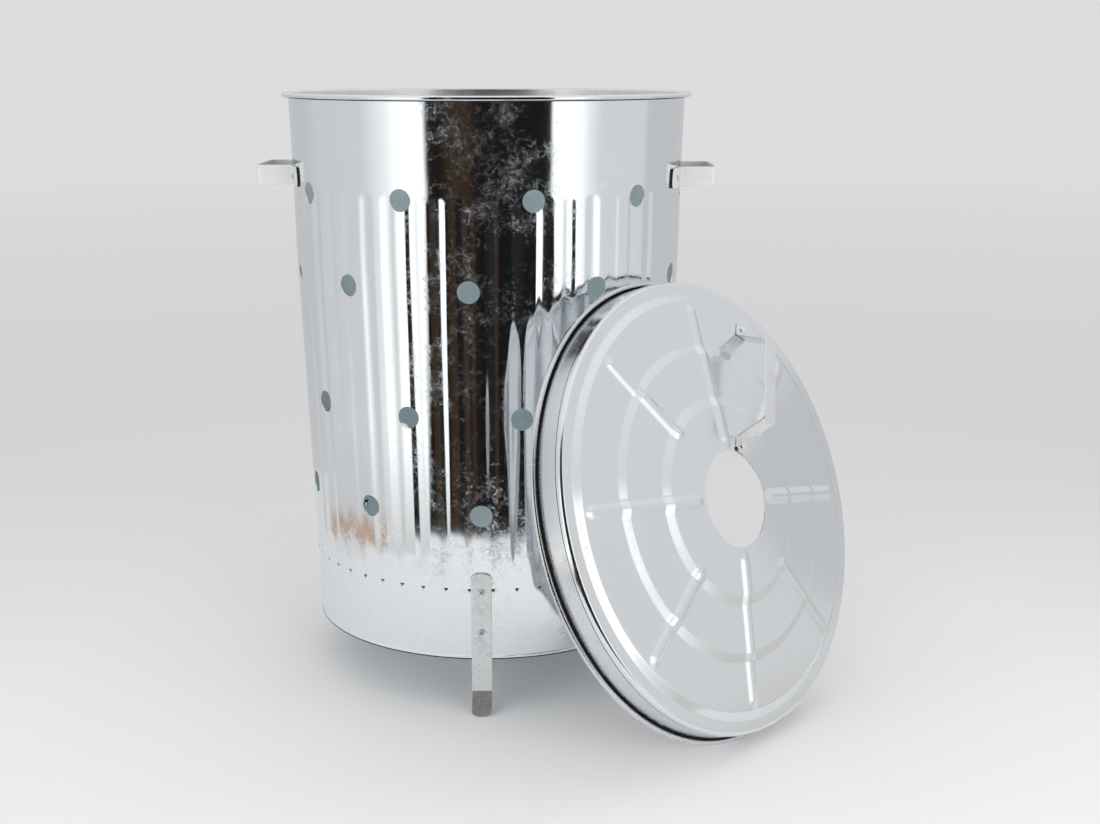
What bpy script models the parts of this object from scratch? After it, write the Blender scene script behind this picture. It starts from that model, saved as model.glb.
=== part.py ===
import math

import bmesh
import bpy
from mathutils import Matrix, Vector

# All sizes are in metres, heights are above the floor, and the bin's axis is vertical.
# The photograph's front is -Y. Angles round the bin are measured from the front towards +X.

GAP = 0.0003
SHEET = 0.0008
STEEL = (0.62, 0.66, 0.68, 1.0)

# Body: one tapered sheet, wider at the top, with a wired rim and a small hem.
EDGE_Z = 0.0611
EDGE_R = 0.2043
RIM_Z = 0.6693
TAPER = 0.0378
RIM_OVERHANG = 0.0077
RIM_BEAD = 0.0052
HEM_HEIGHT = 0.0040
HEM_PROUD = 0.0008

# Upright flutes pressed inward, with the lands between them standing slightly proud.
FLUTE_PITCH = 0.0271
FLUTE_PHASE = math.radians(3.0)
FLUTE_WIDTH = 0.0165
FLUTE_FLOOR = 0.0050
FLUTE_DEPTH = 0.0011
FLUTE_BELOW_RIM = 0.0993
FLUTE_RUNOUT = 0.0080
LAND_PROUD = 0.0016
LAND_FULL_BELOW_RIM = 0.1693

# Small lugs lanced inward under the flutes carry the base plate.
BASE_RISE = 0.0785
LUG_DROP = 0.0065
LUG_REACH = 0.0034

# Round vent holes in four rings, set by hand a little off their pitch.
VENT_D = 0.0240
VENTS_PER_RING = 10
UPPER_VENTS = (
    (0.1049, -59.3, {0: 0.4, 1: 1.4, 2: 1.8, 3: -0.7}),
    (0.1992, -74.6, {0: 1.0, 1: -1.9, 2: -0.6, 4: 1.7}),
)
LOWER_VENTS = (
    (0.1928, -56.8, {0: 0.8, 1: -0.7, 2: -3.7}),
    (0.0863, -71.9, {0: 1.1, 1: -0.5, 2: -0.5}),
)

# Base plate: a disc dropped in on the lugs.
PLATE_THICK = 0.0010

# Three bent strap legs riveted to the lands, measured from the wall's lower edge.
LEGS = 3
LEG_WIDTH = 0.0225
LEG_THICK = 0.0020
LEG_TOP_RISE = 0.1003
LEG_CREASE_RISE = 0.0404
LEG_RIVET_RISES = (0.0790, 0.0328)
LEG_BEND_Z = 0.0250
LEG_TOE_OUT = 0.0184

# Two bent strap handles riveted to the sides.
GRIP_BELOW_RIM = 0.0898
GRIP_RIGHT_DROP = 0.0020
GRIP_HEIGHT = 0.0225
GRIP_THICK = 0.0020
GRIP_STANDOFF = 0.0366
GRIP_HALF_SPAN = 0.0460
GRIP_FLANGE = 0.0410
GRIP_RIVET_IN = 0.0195
GRIP_BEND_R = 0.0030

# Rivets.
RIVET_HEAD_R = 0.0038
RIVET_HEAD_H = 0.0017
RIVET_TAIL_R = 0.0032
RIVET_TAIL_H = 0.0013
RIVET_SHANK_R = 0.0018

# Lid: a stepped round top with a hole in the middle. Each step is an inset from the
# lid's corner and a height over it.
LID_CLEARANCE = 0.0041
LID_HOLE_R = 0.0510
LID_STEPS = (
    (0.1405, 0.0204),
    (0.1305, 0.0155),
    (0.0817, 0.0119),
    (0.0725, 0.0077),
    (0.0231, 0.0042),
    (0.0142, 0.0),
)
LID_RISE = 0.0240
LID_ROUND = 0.0020
LID_SKIRT = 0.0160
LID_SKIRT_FLARE = 0.0008
LID_COLUMNS = 48

# Swaged ribs across the lid. Every other one starts at the inner step.
RIBS = 8
RIB_PHASE = math.radians(35.5)
RIB_WIDTH = 0.0170
RIB_CREST = 0.0040
RIB_HEIGHT = 0.0026
RIB_FROM_HOLE = 0.0050
RIB_FROM_CORNER = 0.0250
RIB_SHORT_LENGTH = 0.1200
RIB_RUNOUT = 0.0090

# Lid band: a rolled strip inside the skirt, ending in a round bead.
BAND_TOP = 0.0040
BAND_BEAD_DROP = 0.0323
BAND_BEAD_OUT = 0.0049
BAND_BEAD_MINOR = 0.0030
BAND_FLARE = 0.0010

# Lid handle: a bent strap set between two ribs. Its tabs run from the hole and the corner.
KNOB_ANGLE = math.radians(55.9)
KNOB_WIDTH = 0.0182
KNOB_THICK = 0.0020
KNOB_OUTER = (0.0250, 0.0430, 0.0590)
KNOB_INNER = (0.0340, 0.0185, 0.0020)
KNOB_OUTER_RISE = 0.0423
KNOB_INNER_RISE = 0.0362
KNOB_BEND_R = 0.0035

# How the lid leans against the bin.
LID_BEARING = math.radians(48.15)
LID_FACING = math.radians(49.58)
LID_LEAN = math.radians(19.33)

# Heights and radii that follow from the sizes above.
FLUTE_TOP = RIM_Z - FLUTE_BELOW_RIM
FLUTE_BOTTOM = EDGE_Z + BASE_RISE
LAND_FULL_Z = RIM_Z - LAND_FULL_BELOW_RIM
FLUTE_MIDDLE_R = EDGE_R + TAPER * (0.5 * (FLUTE_TOP + FLUTE_BOTTOM) - EDGE_Z)
FLUTES = round(2.0 * math.pi * FLUTE_MIDDLE_R / FLUTE_PITCH)
RIM_OUTER_R = EDGE_R + TAPER * (RIM_Z - EDGE_Z) + RIM_OVERHANG
LID_CORNER_R = RIM_OUTER_R + LID_CLEARANCE + 2.0 * SHEET + GAP
BAND_BEAD_R = LID_CORNER_R + BAND_BEAD_OUT
BAND_FLARE_R = LID_CORNER_R + BAND_FLARE
RIB_INNER = LID_HOLE_R + RIB_FROM_HOLE
RIB_OUTER = LID_CORNER_R - RIB_FROM_CORNER
RIB_SHORT_INNER = RIB_OUTER - RIB_SHORT_LENGTH

objects = []


def clear_scene():
    for obj in list(bpy.data.objects):
        bpy.data.objects.remove(obj, do_unlink=True)


def steel(name):
    mat = bpy.data.materials.new(name)
    mat.use_nodes = True
    shader = mat.node_tree.nodes["Principled BSDF"]
    shader.inputs["Base Color"].default_value = STEEL
    shader.inputs["Metallic"].default_value = 1.0
    shader.inputs["Roughness"].default_value = 0.32
    return mat


def new_object(name, bm, material=True):
    mesh = bpy.data.meshes.new(name)
    bmesh.ops.recalc_face_normals(bm, faces=bm.faces)
    bm.to_mesh(mesh)
    bm.free()
    obj = bpy.data.objects.new(name, mesh)
    bpy.context.scene.collection.objects.link(obj)
    if material:
        mesh.materials.append(steel(name))
        objects.append(obj)
    return obj


def smooth(obj, degrees=30.0):
    obj.data.shade_smooth()
    obj.data.set_sharp_from_angle(angle=math.radians(degrees))


def cut(obj, cutter):
    modifier = obj.modifiers.new("holes", "BOOLEAN")
    modifier.operation = "DIFFERENCE"
    modifier.solver = "EXACT"
    modifier.object = cutter
    cutter.display_type = "WIRE"
    cutter.hide_render = True
    graph = bpy.context.evaluated_depsgraph_get()
    mesh = bpy.data.meshes.new_from_object(obj.evaluated_get(graph))
    obj.modifiers.clear()
    obj.data = mesh
    bpy.data.objects.remove(cutter, do_unlink=True)
    bm = bmesh.new()
    bm.from_mesh(mesh)
    bmesh.ops.remove_doubles(bm, verts=bm.verts, dist=0.00002)
    bmesh.ops.dissolve_degenerate(bm, edges=bm.edges, dist=0.00002)
    bmesh.ops.triangulate(bm, faces=bm.faces)
    bm.to_mesh(mesh)
    bm.free()


def wall_r(z):
    """Outer radius of the plain tapered wall."""
    return EDGE_R + TAPER * (z - EDGE_Z)


def around(theta, r, z):
    """A point at an angle round the bin from its front."""
    return Vector((r * math.sin(theta), -r * math.cos(theta), z))


def land_proud(z):
    """How far the lands stand out of the straight cone at a height."""
    if z < LAND_FULL_Z:
        share = (z - FLUTE_BOTTOM) / (LAND_FULL_Z - FLUTE_BOTTOM)
    else:
        share = (FLUTE_TOP - z) / (FLUTE_TOP - LAND_FULL_Z)
    return LAND_PROUD * max(0.0, share)


class Skin:
    """Collects the outer and inner faces of a thin closed sheet."""

    def __init__(self):
        self.bm = bmesh.new()

    def ring(self, points):
        return [self.bm.verts.new(p) for p in points]

    def face(self, *verts):
        seen = []
        for vert in verts:
            if vert not in seen:
                seen.append(vert)
        if len(seen) > 2:
            self.bm.faces.new(seen)

    def band(self, lower, upper):
        count = len(lower)
        for i in range(count):
            j = (i + 1) % count
            self.face(lower[i], lower[j], upper[j], upper[i])


def plain_angles():
    """Both edges of every flute, as angles that do not depend on height."""
    half = 0.5 * FLUTE_WIDTH / FLUTE_MIDDLE_R
    angles = []
    for k in range(FLUTES):
        middle = FLUTE_PHASE + 2.0 * math.pi * k / FLUTES
        angles += [middle - half, middle + half]
    return angles


def flute_angles():
    """Flute edge, floor, floor, edge for every flute."""
    edge = 0.5 * FLUTE_WIDTH / FLUTE_MIDDLE_R
    floor = 0.5 * FLUTE_FLOOR / FLUTE_MIDDLE_R
    angles = []
    for k in range(FLUTES):
        middle = FLUTE_PHASE + 2.0 * math.pi * k / FLUTES
        angles += [middle - edge, middle - floor, middle + floor, middle + edge]
    return angles


def plain_ring(skin, z, r):
    return skin.ring([around(a, r, z) for a in plain_angles()])


def flute_ring(skin, z, inset):
    points = []
    for i, angle in enumerate(flute_angles()):
        depth = FLUTE_DEPTH if i % 4 in (1, 2) else 0.0
        points.append(around(angle, wall_r(z) + land_proud(z) - depth - inset, z))
    return skin.ring(points)


def flute_end(skin, plain, fluted):
    """Joins a plain ring to a fluted one with a pressed, tapering flute end."""
    for k in range(FLUTES):
        left, right = plain[2 * k], plain[2 * k + 1]
        e0, f0, f1, e1 = fluted[4 * k:4 * k + 4]
        skin.face(left, e0, f0)
        skin.face(left, f0, f1, right)
        skin.face(right, f1, e1)
        after = plain[(2 * k + 2) % len(plain)]
        skin.face(right, e1, fluted[(4 * k + 4) % len(fluted)], after)


def lug_end(skin, plain, fluted, inset):
    """Joins the plain lower wall to the flutes with a lug lanced inward below each."""
    z = FLUTE_BOTTOM - GAP
    for k in range(FLUTES):
        middle = FLUTE_PHASE + 2.0 * math.pi * k / FLUTES
        tip = skin.bm.verts.new(around(middle, wall_r(z) - LUG_REACH - inset, z))
        left, right = plain[2 * k], plain[2 * k + 1]
        e0, f0, f1, e1 = fluted[4 * k:4 * k + 4]
        skin.face(left, tip, right)
        skin.face(left, f0, tip)
        skin.face(left, e0, f0)
        skin.face(f0, f1, tip)
        skin.face(right, tip, f1)
        skin.face(right, f1, e1)
        after = plain[(2 * k + 2) % len(plain)]
        skin.face(right, e1, fluted[(4 * k + 4) % len(fluted)], after)


def wall_rings(skin, inset):
    """One face of the wall from the lug line to just under the rim."""
    lower = plain_ring(skin, FLUTE_BOTTOM - LUG_DROP, wall_r(FLUTE_BOTTOM - LUG_DROP) - inset)
    heights = [FLUTE_BOTTOM, LAND_FULL_Z, FLUTE_TOP - FLUTE_RUNOUT]
    fluted = [flute_ring(skin, z, inset) for z in heights]
    lug_end(skin, lower, fluted[0], inset)
    for a, b in zip(fluted, fluted[1:]):
        skin.band(a, b)
    upper = plain_ring(skin, FLUTE_TOP, wall_r(FLUTE_TOP) - inset)
    flute_end(skin, upper, fluted[-1])
    return lower, upper


def rim_profile():
    """The rolled rim from the outside of the wall over its bead to the inside."""
    minor = 0.5 * RIM_BEAD
    centre = RIM_OUTER_R - minor
    under = RIM_Z - minor
    return [
        (wall_r(under - 0.001), under - 0.001),
        (centre + 0.2 * minor, under),
        (RIM_OUTER_R, RIM_Z - 0.3 * minor),
        (centre + 0.7 * minor, RIM_Z + 0.7 * minor),
        (centre - 0.5 * minor, RIM_Z + minor),
        (wall_r(RIM_Z), RIM_Z + 0.4 * minor),
    ]


def vent_places():
    rings = [(RIM_Z - drop, phase, nudges) for drop, phase, nudges in UPPER_VENTS]
    rings += [(FLUTE_BOTTOM + rise, phase, nudges) for rise, phase, nudges in LOWER_VENTS]
    for z, phase, nudges in rings:
        for k in range(VENTS_PER_RING):
            angle = phase + 360.0 * k / VENTS_PER_RING + nudges.get(k, 0.0)
            yield math.radians(angle), z


def leg_angle(place):
    """A third of the way round, on the nearest land between two flutes."""
    land = round(place * FLUTES / LEGS)
    return FLUTE_PHASE + (land - 0.5) * 2.0 * math.pi / FLUTES


def leg_offset(z):
    """Gap between the wall and the inner face of a leg, which clears the hem."""
    crease = EDGE_Z + LEG_CREASE_RISE
    if z >= crease:
        return GAP
    return GAP + HEM_PROUD * (crease - z) / (LEG_CREASE_RISE - HEM_HEIGHT)


def leg_rivet_heights():
    return [EDGE_Z + rise for rise in LEG_RIVET_RISES]


def grip_height(side):
    return RIM_Z - GRIP_BELOW_RIM - (GRIP_RIGHT_DROP if side > 0 else 0.0)


def grip_rivet_angle(side, end, z):
    swing = math.asin((GRIP_HALF_SPAN + GRIP_RIVET_IN) / wall_r(z))
    return side * 0.5 * math.pi + end * swing


def drill(bm, place, direction, radius, length, sides):
    """Adds one round cutter centred on a place."""
    turn = Vector((0.0, 0.0, 1.0)).rotation_difference(direction).to_matrix().to_4x4()
    bmesh.ops.create_cone(
        bm,
        cap_ends=True,
        segments=sides,
        radius1=radius,
        radius2=radius,
        depth=length,
        matrix=Matrix.Translation(place) @ turn,
    )


def outward(theta):
    """Outward normal of the tapered wall."""
    return around(theta, 1.0, -TAPER).normalized()


def build_body():
    skin = Skin()
    low_out, top_out = wall_rings(skin, 0.0)
    low_in, top_in = wall_rings(skin, SHEET)
    hem_top = EDGE_Z + HEM_HEIGHT
    outline = [
        (wall_r(hem_top), hem_top + 0.0005),
        (wall_r(hem_top) + HEM_PROUD, hem_top),
        (wall_r(EDGE_Z) + HEM_PROUD, EDGE_Z),
        (wall_r(EDGE_Z) - SHEET, EDGE_Z),
    ]
    rings = [low_out] + [plain_ring(skin, z, r) for r, z in outline] + [low_in]
    for a, b in zip(rings, rings[1:]):
        skin.band(a, b)
    rings = [top_out] + [plain_ring(skin, z, r) for r, z in rim_profile()] + [top_in]
    for a, b in zip(rings, rings[1:]):
        skin.band(a, b)
    body = new_object("body_shell", skin.bm)
    tools = bmesh.new()
    for theta, z in vent_places():
        drill(tools, around(theta, wall_r(z), z), outward(theta), 0.5 * VENT_D, 0.02, 12)
    hole = RIVET_SHANK_R + GAP
    for leg in range(LEGS):
        for z in leg_rivet_heights():
            theta = leg_angle(leg)
            drill(tools, around(theta, wall_r(z), z), outward(theta), hole, 0.006, 8)
    for side in (-1, 1):
        for end in (-1, 1):
            z = grip_height(side)
            theta = grip_rivet_angle(side, end, z)
            drill(tools, around(theta, wall_r(z), z), outward(theta), hole, 0.006, 8)
    cut(body, new_object("body_holes", tools, material=False))
    smooth(body, 24.0)
    return body


def build_base_plate():
    # The disc clears the flutes and the rivet tails, whichever reach further in.
    clear = max(FLUTE_DEPTH, GAP + RIVET_TAIL_H)
    radius = wall_r(FLUTE_BOTTOM) - SHEET - clear - GAP
    bm = bmesh.new()
    bmesh.ops.create_cone(
        bm,
        cap_ends=True,
        segments=FLUTES,
        radius1=radius,
        radius2=radius,
        depth=PLATE_THICK,
        matrix=Matrix.Translation((0.0, 0.0, FLUTE_BOTTOM + GAP + 0.5 * PLATE_THICK)),
    )
    plate = new_object("base_plate", bm)
    smooth(plate)
    return plate


def round_corners(path, radius, steps=2):
    """Replaces each inner corner of a path by a short arc of straight pieces."""
    out = [path[0]]
    for before, corner, after in zip(path, path[1:], path[2:]):
        a = (before - corner).normalized()
        b = (after - corner).normalized()
        angle = a.angle(b)
        if angle > math.radians(165.0):
            out.append(corner)
            continue
        reach = radius / math.tan(0.5 * angle)
        start, end = corner + a * reach, corner + b * reach
        for i in range(steps + 1):
            t = i / steps
            curve = start * (1 - t) ** 2 + corner * 2 * t * (1 - t) + end * t * t
            out.append(curve)
    out.append(path[-1])
    return out


def stations(path, width):
    """Points along a path with the strap's half width, narrowing to round ends."""
    half = 0.5 * width
    lengths = [0.0]
    for a, b in zip(path, path[1:]):
        lengths.append(lengths[-1] + (b - a).length)
    total = lengths[-1]
    marks = [half * (1 - math.cos(math.radians(a))) for a in (14, 38, 62, 90)]
    wanted = marks + [total - m for m in reversed(marks)]
    wanted += [s for s in lengths if marks[-1] + 0.0005 < s < total - marks[-1] - 0.0005]
    out = []
    for s in sorted(wanted):
        k = max(i for i in range(len(lengths) - 1) if lengths[i] <= s + 1e-9)
        t = (s - lengths[k]) / (lengths[k + 1] - lengths[k])
        edge = min(s, total - s)
        if edge < half:
            w = math.sqrt(max(0.0, half * half - (half - edge) ** 2))
        else:
            w = half
        out.append((path[k].lerp(path[k + 1], t), w))
    return out


def strap(name, path, width, thickness, across, offset=0.0):
    """A bent flat strap whose middle surface runs along a path."""
    bm = bmesh.new()
    rows = []
    for point, half in stations(path, width):
        rows.append([bm.verts.new(point + across * half), bm.verts.new(point - across * half)])
    for (a, b), (c, d) in zip(rows, rows[1:]):
        bm.faces.new((a, b, d, c))
    obj = new_object(name, bm)
    modifier = obj.modifiers.new("sheet", "SOLIDIFY")
    modifier.thickness = thickness
    modifier.offset = offset
    modifier.use_even_offset = True
    graph = bpy.context.evaluated_depsgraph_get()
    obj.data = bpy.data.meshes.new_from_object(obj.evaluated_get(graph))
    obj.modifiers.clear()
    return obj


def build_leg(name, place):
    middle = 0.5 * LEG_THICK

    def at(z):
        return Vector((0.0, -wall_r(z) - leg_offset(z) - middle, z))

    bend = at(LEG_BEND_Z)
    toe = Vector((0.0, -wall_r(0.0) - LEG_TOE_OUT, 0.0))
    lift = (toe - bend).normalized()
    toe += Vector((0.0, -lift.z, lift.y)) * middle
    toe.z = middle * abs(lift.y)
    path = [at(EDGE_Z + LEG_TOP_RISE), at(EDGE_Z + LEG_CREASE_RISE), bend, toe]
    path = round_corners(path, 0.004)
    leg = strap(name, path, LEG_WIDTH, LEG_THICK, Vector((1.0, 0.0, 0.0)))
    tools = bmesh.new()
    for z in leg_rivet_heights():
        drill(tools, around(0.0, wall_r(z), z), outward(0.0), RIVET_SHANK_R + GAP, 0.02, 8)
    cut(leg, new_object(name + "_holes", tools, material=False))
    drop = min(v.co.z for v in leg.data.vertices)
    for vert in leg.data.vertices:
        if vert.co.z < LEG_BEND_Z:
            vert.co.z -= drop * (LEG_BEND_Z - vert.co.z) / LEG_BEND_Z
    leg.rotation_euler = (0.0, 0.0, leg_angle(place))
    smooth(leg)
    return leg


def build_side_handle(name, side):
    z = grip_height(side)
    middle = 0.5 * GRIP_THICK
    r = wall_r(z) + GAP + middle
    end = math.asin((GRIP_HALF_SPAN + GRIP_FLANGE) / r)
    start = math.asin(GRIP_HALF_SPAN / r)
    flange = [end, end - (end - start) / 3, start + (end - start) / 3, start]
    half = [Vector((r * math.cos(a), r * math.sin(a), z)) for a in flange]
    half.append(Vector((wall_r(z) + GRIP_STANDOFF - middle, GRIP_HALF_SPAN, z)))
    mirrored = [Vector((p.x, -p.y, p.z)) for p in reversed(half)]
    path = round_corners(half + mirrored, GRIP_BEND_R)
    handle = strap(name, path, GRIP_HEIGHT, GRIP_THICK, Vector((0.0, 0.0, 1.0)))
    for vert in handle.data.vertices:
        vert.co.x += TAPER * (vert.co.z - z)
        vert.co.x *= side
    if side < 0:
        handle.data.flip_normals()
    tools = bmesh.new()
    for end in (-1, 1):
        theta = grip_rivet_angle(side, end, z)
        drill(tools, around(theta, r, z), outward(theta), RIVET_SHANK_R + GAP, 0.02, 8)
    cut(handle, new_object(name + "_holes", tools, material=False))
    smooth(handle)
    return handle


def build_rivet(name, place, direction, grip):
    """A rivet whose head sits at a place and whose tail closes the far side."""
    tail = -grip - 2 * GAP
    profile = [
        (0.0, RIVET_HEAD_H + GAP),
        (0.62 * RIVET_HEAD_R, 0.78 * RIVET_HEAD_H + GAP),
        (RIVET_HEAD_R, GAP),
        (RIVET_SHANK_R, GAP),
        (RIVET_SHANK_R, tail + GAP),
        (RIVET_TAIL_R, tail + GAP),
        (0.8 * RIVET_TAIL_R, tail + GAP - RIVET_TAIL_H),
        (0.0, tail + GAP - RIVET_TAIL_H),
    ]
    bm = bmesh.new()
    verts = [bm.verts.new((r, 0.0, z)) for r, z in profile]
    edges = [bm.edges.new(pair) for pair in zip(verts, verts[1:])]
    bmesh.ops.spin(
        bm,
        geom=verts + edges,
        cent=(0.0, 0.0, 0.0),
        axis=(0.0, 0.0, 1.0),
        angle=2.0 * math.pi,
        steps=8,
        use_merge=True,
    )
    bmesh.ops.remove_doubles(bm, verts=bm.verts, dist=0.000001)
    rivet = new_object(name, bm)
    turn = Vector((0.0, 0.0, 1.0)).rotation_difference(direction)
    rivet.matrix_world = Matrix.Translation(place) @ turn.to_matrix().to_4x4()
    smooth(rivet, 40.0)
    return rivet


def build_body_rivets():
    for place, name in enumerate(("front", "right", "left")):
        theta = leg_angle(place)
        for level, z in zip(("upper", "lower"), leg_rivet_heights()):
            stack = leg_offset(z) + LEG_THICK
            seat = around(theta, wall_r(z), z) + outward(theta) * stack
            build_rivet(f"leg_{name}_rivet_{level}", seat, outward(theta), stack + SHEET)
    for name, side in (("left", -1), ("right", 1)):
        z = grip_height(side)
        for end_name, end in (("front", -side), ("back", side)):
            theta = grip_rivet_angle(side, end, z)
            stack = GAP + GRIP_THICK
            seat = around(theta, wall_r(z), z) + outward(theta) * stack
            build_rivet(f"handle_{name}_rivet_{end_name}", seat, outward(theta), stack + SHEET)


def lid_steps():
    return [(LID_CORNER_R - inset, rise) for inset, rise in LID_STEPS]


def lid_height(r):
    """Height of the lid's upper face over its corner plane, without ribs."""
    points = [(LID_HOLE_R, LID_RISE)] + lid_steps()
    for (r0, h0), (r1, h1) in zip(points, points[1:]):
        if r <= r1:
            t = max(0.0, (r - r0) / (r1 - r0))
            return h0 + (h1 - h0) * t
    return 0.0


def rib_share(r, k):
    """How much of its height rib k has at a radius."""
    inner = RIB_INNER if k % 2 else RIB_SHORT_INNER
    rise = (r - inner) / RIB_RUNOUT
    fall = (RIB_OUTER - r) / RIB_RUNOUT
    return max(0.0, min(1.0, rise, fall))


def lid_ring(skin, r, height, lower):
    """One ring of the lid, its columns following the ribs' straight sides."""
    points = []
    sector = 2.0 * math.pi / RIBS
    each = LID_COLUMNS // RIBS
    last, end = lid_steps()[-2][0], lid_steps()[-1][0]
    even = min(1.0, max(0.0, (r - last) / (end - last)))
    edge = math.asin(0.5 * RIB_WIDTH / r)
    crest = math.asin(0.5 * RIB_CREST / r)
    for k in range(RIBS):
        local = [-edge, -crest, crest, edge]
        spare = each - 3
        local += [edge + (sector - 2.0 * edge) * (i + 1) / spare for i in range(spare - 1)]
        for i, angle in enumerate(local):
            plain = sector * (i - 1.5) / each
            angle += (plain - angle) * even
            lift = RIB_HEIGHT * rib_share(r, k) if i in (1, 2) else 0.0
            turn = RIB_PHASE + k * sector + angle
            z = height + lift - lower
            points.append(Vector((r * math.cos(turn), r * math.sin(turn), z)))
    return skin.ring(points)


def build_lid_top():
    radii = [LID_HOLE_R, RIB_INNER, RIB_INNER + RIB_RUNOUT]
    radii += [RIB_SHORT_INNER, RIB_SHORT_INNER + RIB_RUNOUT]
    radii += [RIB_OUTER - RIB_RUNOUT, RIB_OUTER]
    radii += [r for r, _ in lid_steps()]
    face = [(r, lid_height(r)) for r in sorted(radii)]
    corner = [
        (LID_CORNER_R - LID_ROUND, 0.0),
        (LID_CORNER_R - 0.3 * LID_ROUND, -0.3 * LID_ROUND),
        (LID_CORNER_R, -LID_ROUND),
        (LID_CORNER_R + LID_SKIRT_FLARE, -LID_SKIRT),
    ]
    inside = [
        (LID_CORNER_R - LID_ROUND, 0.0),
        (LID_CORNER_R - SHEET, -LID_ROUND + SHEET),
        (LID_CORNER_R - SHEET + LID_SKIRT_FLARE, -LID_SKIRT + SHEET),
    ]
    skin = Skin()
    upper = [lid_ring(skin, r, h, 0.0) for r, h in face + corner]
    under = [lid_ring(skin, r, h, SHEET) for r, h in face + inside]
    for rings in (upper, under):
        for a, b in zip(rings, rings[1:]):
            skin.band(a, b)
    skin.band(upper[0], under[0])
    skin.band(upper[-1], under[-1])
    top = new_object("lid_top", skin.bm)
    tools = bmesh.new()
    for place, normal in knob_rivets():
        drill(tools, place, normal, RIVET_SHANK_R + GAP, 0.01, 8)
    cut(top, new_object("lid_top_holes", tools, material=False))
    smooth(top, 24.0)
    return top


def build_lid_band():
    top_r = LID_CORNER_R - SHEET - GAP
    low = -BAND_BEAD_DROP
    minor = BAND_BEAD_MINOR
    flare = top_r + LID_SKIRT_FLARE * (LID_SKIRT - BAND_TOP) / (LID_SKIRT - LID_ROUND)
    outline = [
        (top_r, -BAND_TOP),
        (flare, -LID_SKIRT),
        (BAND_FLARE_R, low + minor),
    ]
    for degrees in (115, 60, 10, -35, -80, -130):
        angle = math.radians(degrees)
        outline.append((BAND_BEAD_R + minor * math.cos(angle), low + minor * math.sin(angle)))
    outline += [
        (BAND_FLARE_R - SHEET, low),
        (flare - SHEET, -LID_SKIRT),
        (top_r - SHEET, -BAND_TOP),
    ]
    bm = bmesh.new()
    start = RIB_PHASE - 1.5 * 2.0 * math.pi / LID_COLUMNS
    verts = []
    for r, z in outline:
        verts.append(bm.verts.new((r * math.cos(start), r * math.sin(start), z)))
    edges = [bm.edges.new(pair) for pair in zip(verts, verts[1:] + verts[:1])]
    bmesh.ops.spin(
        bm,
        geom=verts + edges,
        cent=(0.0, 0.0, 0.0),
        axis=(0.0, 0.0, 1.0),
        angle=2.0 * math.pi,
        steps=LID_COLUMNS,
        use_merge=True,
    )
    bmesh.ops.remove_doubles(bm, verts=bm.verts, dist=0.000001)
    band = new_object("lid_band", bm)
    smooth(band, 40.0)
    return band


def knob_frame():
    radial = Vector((math.cos(KNOB_ANGLE), math.sin(KNOB_ANGLE), 0.0))
    across = Vector((-math.sin(KNOB_ANGLE), math.cos(KNOB_ANGLE), 0.0))
    return radial, across


def knob_radii():
    """Tab tip, tab end and grip corner from the rim inward, then back at the hole."""
    return [LID_CORNER_R - inset for inset in KNOB_OUTER] + [LID_HOLE_R + r for r in KNOB_INNER]


def knob_rivets():
    """Where the lid handle's rivets cross the lid, with the face's normal there."""
    radial, across = knob_frame()
    radii = knob_radii()
    for tip, base in ((radii[0], radii[1]), (radii[-1], radii[-2])):
        r = 0.5 * (tip + base)
        slope = (lid_height(r + 0.001) - lid_height(r - 0.001)) / 0.002
        normal = (Vector((0.0, 0.0, 1.0)) - radial * slope).normalized()
        yield radial * r + Vector((0.0, 0.0, lid_height(r))), normal


def build_lid_handle():
    radial, across = knob_frame()
    lift = GAP + 0.5 * KNOB_THICK
    radii = knob_radii()
    heights = [lid_height(r) + lift for r in radii]
    heights[2] = lid_height(radii[1]) + KNOB_OUTER_RISE
    heights[3] = lid_height(radii[4]) + KNOB_INNER_RISE
    path = [radial * r + Vector((0.0, 0.0, h)) for r, h in zip(radii, heights)]
    path = round_corners(path, KNOB_BEND_R)
    handle = strap("lid_handle", path, KNOB_WIDTH, KNOB_THICK, across)
    tools = bmesh.new()
    for place, normal in knob_rivets():
        drill(tools, place, normal, RIVET_SHANK_R + GAP, 0.01, 8)
    cut(handle, new_object("lid_handle_holes", tools, material=False))
    smooth(handle)
    return handle


def lid_pose():
    """Stands the lid on its bead's edge, leaning back against the wall."""
    normal = around(LID_FACING, math.cos(LID_LEAN), math.sin(LID_LEAN))
    side = Vector((math.cos(LID_FACING), math.sin(LID_FACING), 0.0))
    up = normal.cross(side)
    height = BAND_BEAD_DROP * normal.z + BAND_BEAD_R * up.z + BAND_BEAD_MINOR
    touch_z = 2.0 * BAND_BEAD_R * up.z + BAND_BEAD_MINOR
    touch_r = wall_r(touch_z) + land_proud(touch_z) + BAND_BEAD_MINOR + GAP
    distance = touch_r + BAND_BEAD_DROP * math.cos(LID_LEAN) + BAND_BEAD_R * math.sin(LID_LEAN)
    centre = around(LID_BEARING, distance, height)
    turn = Matrix((side, up, normal)).transposed().to_4x4()
    return Matrix.Translation(centre) @ turn


def build_lid():
    parts = [build_lid_top(), build_lid_band(), build_lid_handle()]
    for name, (place, normal) in zip(("outer", "inner"), knob_rivets()):
        stack = GAP + KNOB_THICK
        parts.append(build_rivet(f"lid_rivet_{name}", place + normal * stack, normal, stack + SHEET))
    pose = lid_pose()
    bpy.context.view_layer.update()
    for part in parts:
        part.matrix_world = pose @ part.matrix_world


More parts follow.
